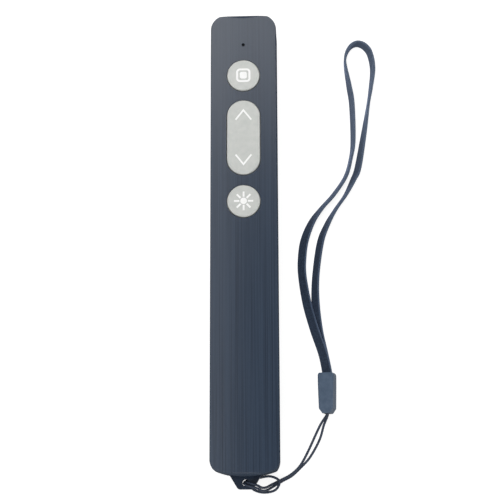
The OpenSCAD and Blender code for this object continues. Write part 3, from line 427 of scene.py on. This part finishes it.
guide = middle_of("light_guide")
plug_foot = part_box("light_guide")[1].z / MM
plug_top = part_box("front_shell")[1].z / MM - LENS_SUNK
levels = [(LENS_R, plug_foot)]
for i in range(DOME_STEPS):
    a = math.radians(90 / DOME_STEPS * i)
    levels.append((LENS_R * math.cos(a), plug_top - LENS_DOME + LENS_DOME * math.sin(a)))
rings = [
    [Vector((*(guide.xy + polar(360 / LENS_SIDES * k, r)), z)) for k in range(LENS_SIDES)]
    for r, z in levels
]
status_lens = skin("status_lens", rings)
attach(status_lens, "casing")
print("status lens in mm:", [round(v, 2) for v in (*guide.xy, plug_foot, plug_top)])

# %% [markdown]
# ## Building a finish
# Colours are written as people read them, in sRGB hex, and one function turns them into the linear
# numbers that Blender mixes. Another small function adds a node, sets it and joins it up, so that a
# finish reads from top to bottom like a recipe. Every pattern is drawn in millimetres on the object
# itself, so it keeps its real scale and moves with its part.

# %% Colour and nodes
finishes = {}


def linear(code):
    """An sRGB hex colour as linear red, green, blue and alpha."""
    parts = [int(code[i:i + 2], 16) / 255 for i in (1, 3, 5)]
    return (*[p / 12.92 if p <= 0.04045 else ((p + 0.055) / 1.055) ** 2.4 for p in parts], 1.0)


def add(tree, kind, values=None, links=None):
    """A new node: values sets its settings and sockets, and links joins its sockets to other outputs."""
    made = tree.nodes.new(kind)
    for key, value in (values or {}).items():
        if isinstance(key, int) or key in made.inputs:
            made.inputs[key].default_value = value
        else:
            setattr(made, key, value)
    for key, source in (links or {}).items():
        tree.links.new(source, made.inputs[key])
    return made


def start_finish(name, settings):
    """A new finish with one Principled shader: its tree, the shader, and each point's place in mm."""
    finishes[name] = bpy.data.materials.new(name)
    finishes[name].use_nodes = True
    tree = finishes[name].node_tree
    shader = tree.nodes["Principled BSDF"]
    for key, value in settings.items():
        shader.inputs[key].default_value = value
    place = add(tree, "ShaderNodeTexCoord").outputs["Object"]
    in_mm = add(tree, "ShaderNodeVectorMath", {"operation": "SCALE", "Scale": 1 / MM}, {0: place}).outputs[0]
    return tree, shader, in_mm


print("middle grey #808080 is", round(linear("#808080")[0], 3), "in linear light")

# %% [markdown]
# ## Lacquered brushed front
# The front is slate lacquer over lengthwise brushing. Brushing leaves thousands of parallel scratches,
# about 0.05 mm wide and centimetres long. Each one catches the light by itself, which gives the eye
# fine streaks along the casing. Real scratches are too fine for this picture, so they are drawn 0.2
# and 0.5 mm wide, with a deeper, darker one every 1.6 mm or so. They show more towards the tail, where
# the front mirrors less light.

# %% Brushed lacquer: streaks
STREAK_WIDTHS, STREAK_LENGTH = (0.5, 0.2), 80.0
SCRATCH_PITCH = 1.6
SCRATCH_FROM, SCRATCH_TO = 0.62, 0.95  # the ridged pattern's values at a scratch's edge and at its bottom
BESIDE_SCRATCH, IN_SCRATCH = 0.1, -0.2  # what is added to the streaks there
FAINT_Y, FULL_Y, FAINTEST = 45.0, -45.0, 0.25  # where the streaks are faintest and strongest

tree, lacquer, in_mm = start_finish("brushed_slate_lacquer", {"IOR": 1.5, "Specular IOR Level": 0.3})
drawn = []
for width in (*STREAK_WIDTHS, SCRATCH_PITCH):
    per_mm = (1 / width, 1 / STREAK_LENGTH, 1 / width)
    drawn.append(add(tree, "ShaderNodeVectorMath", {"operation": "MULTIPLY", 1: per_mm}, {0: in_mm}).outputs[0])
coarse, fine = [
    add(tree, "ShaderNodeTexNoise", {"Scale": 1.0, "Detail": 2.0, "Roughness": 0.6},
        {"Vector": place}).outputs["Fac"]
    for place in drawn[:2]
]
ridge = add(tree, "ShaderNodeTexNoise", {"noise_type": "RIDGED_MULTIFRACTAL", "Scale": 1.0, "Detail": 1.0},
            {"Vector": drawn[2]}).outputs["Fac"]
scratch = add(tree, "ShaderNodeMapRange", {
    "From Min": SCRATCH_FROM, "From Max": SCRATCH_TO, "To Min": BESIDE_SCRATCH, "To Max": IN_SCRATCH,
}, {"Value": ridge}).outputs[0]
both = add(tree, "ShaderNodeMath", {"operation": "ADD"}, {0: coarse, 1: fine}).outputs[0]
total = add(tree, "ShaderNodeMath", {"operation": "ADD"}, {0: both, 1: scratch}).outputs[0]
centred = add(tree, "ShaderNodeMath", {"operation": "SUBTRACT", 1: 1.0}, {0: total}).outputs[0]
along = add(tree, "ShaderNodeSeparateXYZ", None, {0: in_mm}).outputs["Y"]
strength = add(tree, "ShaderNodeMapRange", {
    "From Min": FAINT_Y, "From Max": FULL_Y, "To Min": FAINTEST, "To Max": 1.0,
}, {"Value": along}).outputs[0]
streaks = add(tree, "ShaderNodeMath", {"operation": "MULTIPLY"}, {0: centred, 1: strength}).outputs[0]
print("streaks of", STREAK_WIDTHS, "mm and scratches", SCRATCH_PITCH, "mm apart")

# %% [markdown]
# The streaks drive two things: the lacquer's tone, and a faint relief that breaks up its shine. The
# lacquer is glossy on the front and satin on the walls. On a wall that is seen at a low angle, that
# makes the difference between a dark edge and one that mirrors the white table.

# %% Brushed lacquer: tone, relief and shine
STREAK_SWING = 0.22  # how far the streaks go either way
LACQUER_DARK, LACQUER_LIGHT, LACQUER_STOPS = "#172537", "#2b3a4d", (0.15, 0.85)
STREAK_RELIEF = 0.012
WALL_UP, FRONT_UP = 0.3, 0.8  # how much a wall and the front face upward, 1 being straight up
WALL_ROUGHNESS, FRONT_ROUGHNESS = 0.9, 0.27

tone = add(tree, "ShaderNodeMapRange", {"From Min": -STREAK_SWING, "From Max": STREAK_SWING},
           {"Value": streaks}).outputs[0]
ramp = add(tree, "ShaderNodeValToRGB", None, {"Fac": tone})
for stop, at, code in zip(ramp.color_ramp.elements, LACQUER_STOPS, (LACQUER_DARK, LACQUER_LIGHT)):
    stop.position, stop.color = at, linear(code)
tree.links.new(ramp.outputs["Color"], lacquer.inputs["Base Color"])
bump = add(tree, "ShaderNodeBump", {"Strength": 1.0, "Distance": STREAK_RELIEF * MM}, {"Height": streaks})
tree.links.new(bump.outputs["Normal"], lacquer.inputs["Normal"])
standing = add(tree, "ShaderNodeTexCoord").outputs["Normal"]
facing = add(tree, "ShaderNodeSeparateXYZ", None, {0: standing}).outputs["Z"]
roughness = add(tree, "ShaderNodeMapRange", {
    "From Min": WALL_UP, "From Max": FRONT_UP, "To Min": WALL_ROUGHNESS, "To Max": FRONT_ROUGHNESS,
}, {"Value": facing}).outputs[0]
tree.links.new(roughness, lacquer.inputs["Roughness"])
print("lacquer from", LACQUER_DARK, "to", LACQUER_LIGHT)

# %% [markdown]
# ## Tone and grain
# No moulded or plated surface is quite even. Its tone wanders a little over patches a few grains wide,
# and a fine relief breaks up its highlight. Two soft noise patterns give both.

# %% Tone and grain
MOTTLE_STOPS = (0.35, 0.65)  # a noise seldom goes beyond these, so the tones are reached there


def mottled(tree, shader, in_mm, dark, light, patch_mm):
    """Lets a colour wander between two tones over patches of a given size, and returns that colour."""
    noise = add(tree, "ShaderNodeTexNoise", {"Scale": 1 / patch_mm, "Detail": 3.0}, {"Vector": in_mm})
    ramp = add(tree, "ShaderNodeValToRGB", None, {"Fac": noise.outputs["Fac"]})
    for stop, at, code in zip(ramp.color_ramp.elements, MOTTLE_STOPS, (dark, light)):
        stop.position, stop.color = at, linear(code)
    tree.links.new(ramp.outputs["Color"], shader.inputs["Base Color"])
    return ramp.outputs["Color"]


def grained(tree, shader, in_mm, grain_mm, depth_mm, detail=2.0):
    """Gives a surface a fine relief: depth_mm high, with grains of a given size."""
    noise = add(tree, "ShaderNodeTexNoise", {"Scale": 1 / grain_mm, "Detail": detail}, {"Vector": in_mm})
    bump = add(tree, "ShaderNodeBump", {"Strength": 1.0, "Distance": depth_mm * MM},
               {"Height": noise.outputs["Fac"]})
    tree.links.new(bump.outputs["Normal"], shader.inputs["Normal"])


print("tones are reached at", MOTTLE_STOPS, "of the noise")

# %% [markdown]
# ## Moulded plastics
# Most other parts are injection-moulded ABS or nylon. The steel mould is spark-eroded, and its fine
# pits come out on the plastic as a satin grain of about 0.1 mm, which is drawn two or three times as
# coarse so that it shows. Each plastic is the same recipe with its own tones, gloss and grain. The
# casing's walls and the bead are nearly matt, the keys have a soft shine, and the lug is the one dark
# glossy part. Flat ink, cable insulation, solder mask and a cell's sleeve are plastics as well.

# %% Plastics
PLASTIC_IOR = 1.5
PATCH_GRAINS = 6  # a patch of one tone is this many grains wide
PLASTICS = {
    # name: dark tone, light tone, gloss level, roughness, grain size and grain depth in millimetres
    "satin_slate_abs": ("#2b3645", "#333f4f", 0.1, 0.75, 0.25, 0.006),  # casing: dark, nearly matt
    "satin_grey_abs": ("#c0c3bf", "#c8cac6", 0.5, 0.38, 0.3, 0.003),  # keys: even, with a soft shine
    "moulded_black_abs": ("#1a1c20", "#212429", 0.5, 0.4, 0.3, 0.005),  # inner parts: black, with a gleam
    "moulded_white_nylon": ("#d4d4ce", "#deded8", 0.5, 0.45, 0.3, 0.004),  # lever and tongue: waxy white
    "glossy_slate_nylon": ("#162132", "#203045", 0.2, 0.3, 0.5, 0.006),  # lug: dark, with clear highlights
    "satin_slate_bead": ("#4c5c70", "#556579", 0.15, 0.42, 0.25, 0.005),  # bead: paler, soft on its facets
    "smoked_resin_drop": ("#0a0d11", "#0f1218", 0.05, 0.6, 0.3, 0.002),  # status light: a black dot
    "printed_white_ink": ("#fefefc", "#ffffff", 0.5, 0.5, 0.2, 0.002),  # symbols: flat paper white
    "green_solder_mask": ("#1b5437", "#246642", 0.5, 0.3, 1.2, 0.004),  # board: glossy over copper tracks
    "red_pvc_lead": ("#9e2828", "#ad3030", 0.5, 0.4, 0.4, 0.003),  # leads: smooth and waxy
    "black_pvc_lead": ("#131517", "#1b1c20", 0.5, 0.4, 0.4, 0.003),  # lead: smooth and waxy
    "grey_shrink_sleeve": ("#686d73", "#73787f", 0.5, 0.3, 1.0, 0.004),  # cell: glossy film, a little wavy
}
for name, (dark, light, gloss, roughness, grain, depth) in PLASTICS.items():
    tree, shader, in_mm = start_finish(
        name, {"Roughness": roughness, "IOR": PLASTIC_IOR, "Specular IOR Level": gloss})
    mottled(tree, shader, in_mm, dark, light, PATCH_GRAINS * grain)
    grained(tree, shader, in_mm, grain, depth)
print("plastics:", len(PLASTICS))

# %% [markdown]
# ## Metals
# A metal has no colour under its surface: what you see is its tinted reflection. So each metal is fully
# metallic, and its roughness tells how it was made. Nickel plate is bright, a drawn spring is a little
# duller, and blackened steel is dark and dull. Their grain stands for rolling and plating marks, which
# are much finer on real parts.

# %% Metals
METAL_PATCH_GRAINS = 4
METALS = {
    # name: dark tone, light tone, roughness, grain size and grain depth in millimetres
    "bright_nickel_plate": ("#b4b6b8", "#c4c6c8", 0.18, 0.6, 0.002),  # contacts and covers: almost a mirror
    "drawn_spring_steel": ("#9fa2a6", "#b6b9bd", 0.28, 0.3, 0.003),  # contact spring: bright but soft
    "blackened_steel": ("#26282b", "#303236", 0.4, 0.3, 0.003),  # screws: dark, a dull gleam
    "gold_flash": ("#c79a45", "#d9b25c", 0.25, 0.4, 0.002),  # the plug's contacts: warm and smooth
}
for name, (dark, light, roughness, grain, depth) in METALS.items():
    tree, shader, in_mm = start_finish(name, {"Metallic": 1.0, "Roughness": roughness})
    mottled(tree, shader, in_mm, dark, light, METAL_PATCH_GRAINS * grain)
    grained(tree, shader, in_mm, grain, depth)
print("metals:", len(METALS))

# %% [markdown]
# The laser's brass barrel is turned on a lathe, whose tool leaves fine rings round its axis. The rings
# are a wave along Y. At scale 1, Blender's wave pattern goes through 20 radians in each unit, so the
# scale that gives one ring for each turn of the lathe follows from the tool's feed.

# %% Turned brass
LATHE_FEED, RING_DEPTH = 0.25, 0.006  # how far the tool moves in one turn, and how deep it cuts
WAVE_RADIANS = 20
BRASS_PATCH = 1.5

tree, shader, in_mm = start_finish("turned_brass", {"Metallic": 1.0, "Roughness": 0.28})
mottled(tree, shader, in_mm, "#a8853f", "#bd9850", BRASS_PATCH)
turned = add(tree, "ShaderNodeTexWave", {
    "wave_type": "BANDS", "bands_direction": "Y", "Scale": math.tau / (WAVE_RADIANS * LATHE_FEED),
}, {"Vector": in_mm}).outputs["Fac"]
bump = add(tree, "ShaderNodeBump", {"Strength": 1.0, "Distance": RING_DEPTH * MM}, {"Height": turned})
tree.links.new(bump.outputs["Normal"], shader.inputs["Normal"])
print("brass rings", LATHE_FEED, "mm apart")

# %% [markdown]
# ## Clear parts
# The laser window is polished acrylic of a deep red, which lets the beam out and hides the rest. The
# lens behind it is clear. The light guide is a pin of smoked acrylic, which looks black while the light
# is off, and the light itself is a pale, milky package. All have a faint waviness from the mould.

# %% Clear plastics
ACRYLIC_IOR = 1.49
WAVINESS, WAVE_DEPTH = 0.8, 0.001
CLEAR = {
    # name: colour, how much light passes, roughness
    "smoked_acrylic_pin": ("#0b0e13", 0.0, 0.3),  # light guide: black until it is lit
    "deep_red_acrylic": ("#4a0c10", 0.5, 0.06),  # laser window: dark, with a red depth
    "clear_acrylic_lens": ("#cfe0e6", 0.8, 0.05),  # lens: clear, with sharp glints
    "diode_package": ("#d9ddce", 0.2, 0.3),  # status light: pale and milky
}
for name, (code, clear, roughness) in CLEAR.items():
    tree, shader, in_mm = start_finish(name, {
        "Roughness": roughness, "IOR": ACRYLIC_IOR, "Transmission Weight": clear, "Base Color": linear(code),
    })
    grained(tree, shader, in_mm, WAVINESS, WAVE_DEPTH)
print("clear parts:", len(CLEAR))

# %% [markdown]
# ## Woven tape
# The tape is woven from nylon yarn. Warp yarns run its length and the weft crosses them, so its face is
# a fine check of little humps, about 0.3 mm apart. Yarn is fuzzy and scatters light at its edges, which
# is what the shader's sheen is for. A painted highlight makes the tape's edges paler, and painted light
# makes the tape paler towards the far end of the loop.

# %% Woven tape
MIX_A, MIX_B, MIX_OUT = 6, 7, 2  # the Mix node's sockets for two colours and for their mixture
WARP_PITCH, YARN_RELIEF = 0.3, 0.05
TAPE_PATCH = 0.5
# painted highlight: from here to the edge the tape's colour turns paler
EDGE_HIGHLIGHT_FROM, EDGE_HIGHLIGHT_TO = 0.78, 0.95  # as shares of the way from the tape's middle to its edge
# painted light: along y the tape grows paler towards the loop's far end
PAINTED_LIGHT_FROM_Y, PAINTED_LIGHT_TO_Y, PAINTED_LIGHT_MOST = 2.0, 45.0, 0.8

tree, shader, in_mm = start_finish("woven_nylon_tape", {
    "Roughness": 0.75, "IOR": PLASTIC_IOR, "Specular IOR Level": 0.25,
    "Sheen Weight": 1.0, "Sheen Roughness": 0.35, "Sheen Tint": linear("#b3c6ee"),
})
face = mottled(tree, shader, in_mm, "#1f2a3b", "#2e3b4d", TAPE_PATCH)
outward = add(tree, "ShaderNodeAttribute", {"attribute_name": "outward"}).outputs["Fac"]
# Painted highlight: the tape's edges are mixed towards a paler colour.
painted_edge_highlight = add(tree, "ShaderNodeMapRange", {"From Min": EDGE_HIGHLIGHT_FROM, "From Max": EDGE_HIGHLIGHT_TO},
               {"Value": outward}).outputs[0]
highlighted_edges = add(tree, "ShaderNodeMix", {"data_type": "RGBA", MIX_B: linear("#465469")},
            {0: painted_edge_highlight, MIX_A: face}).outputs[MIX_OUT]
along = add(tree, "ShaderNodeSeparateXYZ", None, {0: in_mm}).outputs["Y"]
# Painted light: towards the loop's far end the tape is mixed towards a paler colour.
painted_light = add(tree, "ShaderNodeMapRange", {"From Min": PAINTED_LIGHT_FROM_Y, "From Max": PAINTED_LIGHT_TO_Y, "To Max": PAINTED_LIGHT_MOST},
           {"Value": along}).outputs[0]
lightened = add(tree, "ShaderNodeMix", {"data_type": "RGBA", MIX_B: linear("#5c687b")},
            {0: painted_light, MIX_A: highlighted_edges}).outputs[MIX_OUT]
tree.links.new(lightened, shader.inputs["Base Color"])
weave = add(tree, "ShaderNodeTexVoronoi", {"Scale": 1 / WARP_PITCH, "Randomness": 0.25},
            {"Vector": in_mm}).outputs["Distance"]
bump = add(tree, "ShaderNodeBump", {"Strength": 1.0, "Distance": YARN_RELIEF * MM, "invert": True},
           {"Height": weave})
tree.links.new(bump.outputs["Normal"], shader.inputs["Normal"])
print("tape yarns", WARP_PITCH, "mm apart")

# %% [markdown]
# ## Laid string
# The string is polyester, spun hard and smooth, so it has far less fuzz than the tape. Its three yarns
# are already in its shape. The finish adds only their fibres, which are drawn 0.12 mm wide, several
# times as coarse as real ones.

# %% Laid string
FIBRE, FIBRE_RELIEF, FIBRE_DETAIL = 0.12, 0.02, 4.0
STRING_PATCH = 0.3

tree, shader, in_mm = start_finish("laid_polyester_string", {
    "Roughness": 0.6, "IOR": PLASTIC_IOR, "Sheen Weight": 0.15, "Sheen Roughness": 0.4,
})
mottled(tree, shader, in_mm, "#1b2538", "#29374c", STRING_PATCH)
grained(tree, shader, in_mm, FIBRE, FIBRE_RELIEF, detail=FIBRE_DETAIL)
print("finishes so far:", len(finishes))

# %% [markdown]
# ## Dressing every part
# The CAD parts keep their shapes, and each gets its finish in place of the plain one that it came with.
# The pieces made above get theirs too.

# %% Dress
WEARS = {
    "brushed_slate_lacquer": ["front_shell"],
    "satin_slate_abs": ["rear_shell", "battery_door"],
    "satin_grey_abs": ["blank_button", "page_rocker", "laser_button"],
    "moulded_black_abs": ["blank_plunger", "rocker_plungers", "laser_plunger", "key_switches", "rocker_pivot",
                          "board_chips", "power_knob", "receiver_grip"],
    "moulded_white_nylon": ["power_switch_lever", "receiver_tongue"],
    "bright_nickel_plate": ["switch_covers", "power_switch_base", "battery_nub", "receiver_plug",
                            "positive_contact", "negative_contact"],
    "drawn_spring_steel": ["contact_spring"],
    "blackened_steel": ["case_screws"],
    "green_solder_mask": ["circuit_board"],
    "smoked_acrylic_pin": ["light_guide"],
    "diode_package": ["status_light"],
    "turned_brass": ["laser_barrel"],
    "clear_acrylic_lens": ["laser_lens"],
    "deep_red_acrylic": ["laser_window"],
    "red_pvc_lead": ["laser_leads", "positive_lead"],
    "black_pvc_lead": ["negative_lead"],
    "grey_shrink_sleeve": ["battery_can"],
    "gold_flash": ["receiver_contacts"],
    "glossy_slate_nylon": ["lanyard_lug"],
    "satin_slate_bead": ["strap_bead"],
}
for finish, names in WEARS.items():
    for name in names:
        mesh = nodes[name].data
        mesh.materials.clear()
        mesh.materials.append(finishes[finish])
for finish, pieces in (("woven_nylon_tape", [webbing]), ("laid_polyester_string", [string]),
                       ("smoked_resin_drop", [status_lens]), ("printed_white_ink", ink_pieces)):
    for piece in pieces:
        piece.data.materials.append(finishes[finish])
dressed = {name for names in WEARS.values() for name in names}
bare = sorted(set(nodes) - dressed - {"strap_string", "wrist_webbing"})
print("dressed", len(dressed), "parts; without a finish:", bare)

# %% [markdown]
# ## Background
# The picture's background is plain white, but a white room would flood the object with light. So the
# floor and the room are bright only for the rays that show them: the camera's own, those that come
# through clear parts, and, at half strength, reflections. All other light stays at a plain level.
# The floor keeps the object's soft shadow. From below it is see-through, so that the casing's back can
# be looked at. A ray that leaves the back meets the floor at once, and passes too, so that the back
# isn't black.

# %% Floor
MIRRORED = 0.5  # how much of the white background a reflection shows
FLOOR_GAP = 0.02  # a hair below the casing's back, so that the two faces never share a plane
FLOOR_HALF = 1500
FLOOR_TONE, FLOOR_LIFT = "#a4a4a4", 0.84  # together they come out white
TOUCHING = 0.3 * MM  # a ray shorter than this started on something that lies on the floor
WHITE = (1, 1, 1, 1)


def seen_as_background(tree):
    """1 for a ray from the camera or through a clear part, less for a reflection, 0 for other light."""
    rays = add(tree, "ShaderNodeLightPath").outputs
    mirrored = add(tree, "ShaderNodeMath", {"operation": "MULTIPLY", 1: MIRRORED},
                   {0: rays["Is Glossy Ray"]}).outputs[0]
    seen = add(tree, "ShaderNodeMath", {"operation": "MAXIMUM"},
               {0: rays["Is Camera Ray"], 1: mirrored}).outputs[0]
    return add(tree, "ShaderNodeMath", {"operation": "MAXIMUM"},
               {0: seen, 1: rays["Is Transmission Ray"]}).outputs[0]


corners = [(x * FLOOR_HALF, y * FLOOR_HALF, -FLOOR_GAP) for x, y in ((-1, -1), (1, -1), (1, 1), (-1, 1))]
floor = link_mesh("floor", corners, [(0, 1, 2, 3)])
tree, shader, _ = start_finish("white_paper", {
    "Roughness": 0.9, "Base Color": linear(FLOOR_TONE), "Emission Color": WHITE,
})
lift = add(tree, "ShaderNodeMath", {"operation": "MULTIPLY", 1: FLOOR_LIFT},
           {0: seen_as_background(tree)}).outputs[0]
tree.links.new(lift, shader.inputs["Emission Strength"])
under = add(tree, "ShaderNodeNewGeometry").outputs["Backfacing"]
ray_length = add(tree, "ShaderNodeLightPath").outputs["Ray Length"]
touching = add(tree, "ShaderNodeMath", {"operation": "LESS_THAN", 1: TOUCHING}, {0: ray_length}).outputs[0]
open_to = add(tree, "ShaderNodeMath", {"operation": "MAXIMUM"}, {0: under, 1: touching}).outputs[0]
clear = add(tree, "ShaderNodeBsdfTransparent").outputs[0]
mixed = add(tree, "ShaderNodeMixShader", None, {0: open_to, 1: shader.outputs[0], 2: clear}).outputs[0]
tree.links.new(mixed, tree.nodes["Material Output"].inputs["Surface"])
floor.data.materials.append(finishes["white_paper"])
print("floor in mm:", 2 * FLOOR_HALF, "across,", FLOOR_GAP, "below the casing")

# %% Room
ROOM_LEVEL = 0.25  # how bright the room is as light
world = bpy.data.worlds.new("room")
bpy.context.scene.world = world
world.use_nodes = True
tree = world.node_tree
sky = tree.nodes["Background"]
brightness = add(tree, "ShaderNodeMapRange", {"To Min": ROOM_LEVEL, "To Max": 1.0},
                 {"Value": seen_as_background(tree)}).outputs[0]
tree.links.new(brightness, sky.inputs["Strength"])
sky.inputs["Color"].default_value = WHITE
print("room level:", ROOM_LEVEL)

# %% [markdown]
# ## Lamps
# Four softboxes stand round the object. With the room they add up to a plain level, at which a colour
# comes out about as it is written. The front is slightly crowned, so it mirrors the box beyond the tip
# more and more towards the tip, and the one at the left along its left side. That is why the casing
# looks paler there. The box beyond the tail lights the end that faces the camera, and the low one at
# the right reaches the webbing's standing faces.

# %% Softboxes
BOX_DISTANCE = 0.8  # metres
SOFTBOXES = {
    # name: elevation and azimuth in degrees (0 beyond the tip, 90 right), width and height in metres, watts
    "softbox_beyond_tip": (60, 0, 0.6, 0.2, 2.2),
    "softbox_at_left": (70, -90, 0.9, 0.33, 1.7),
    "softbox_beyond_tail": (40, 180, 0.8, 0.5, 1.55),
    "softbox_low_right": (15, 90, 0.8, 0.3, 0.9),
}
for name, (elevation, azimuth, width, height, power) in SOFTBOXES.items():
    lamp = bpy.data.lights.new(name, "AREA")
    lamp.shape, lamp.size, lamp.size_y, lamp.energy = "RECTANGLE", width, height, power
    up, turn = math.radians(elevation), math.radians(azimuth)
    out = Vector((math.cos(up) * math.sin(turn), math.cos(up) * math.cos(turn), math.sin(up)))
    softbox = put(name, lamp)
    softbox.location = out * BOX_DISTANCE
    softbox.rotation_euler = out.to_track_quat("Z", "Y").to_euler()  # a lamp shines along its own -Z
bpy.context.scene.view_settings.view_transform = "Standard"
print("softboxes:", list(SOFTBOXES))
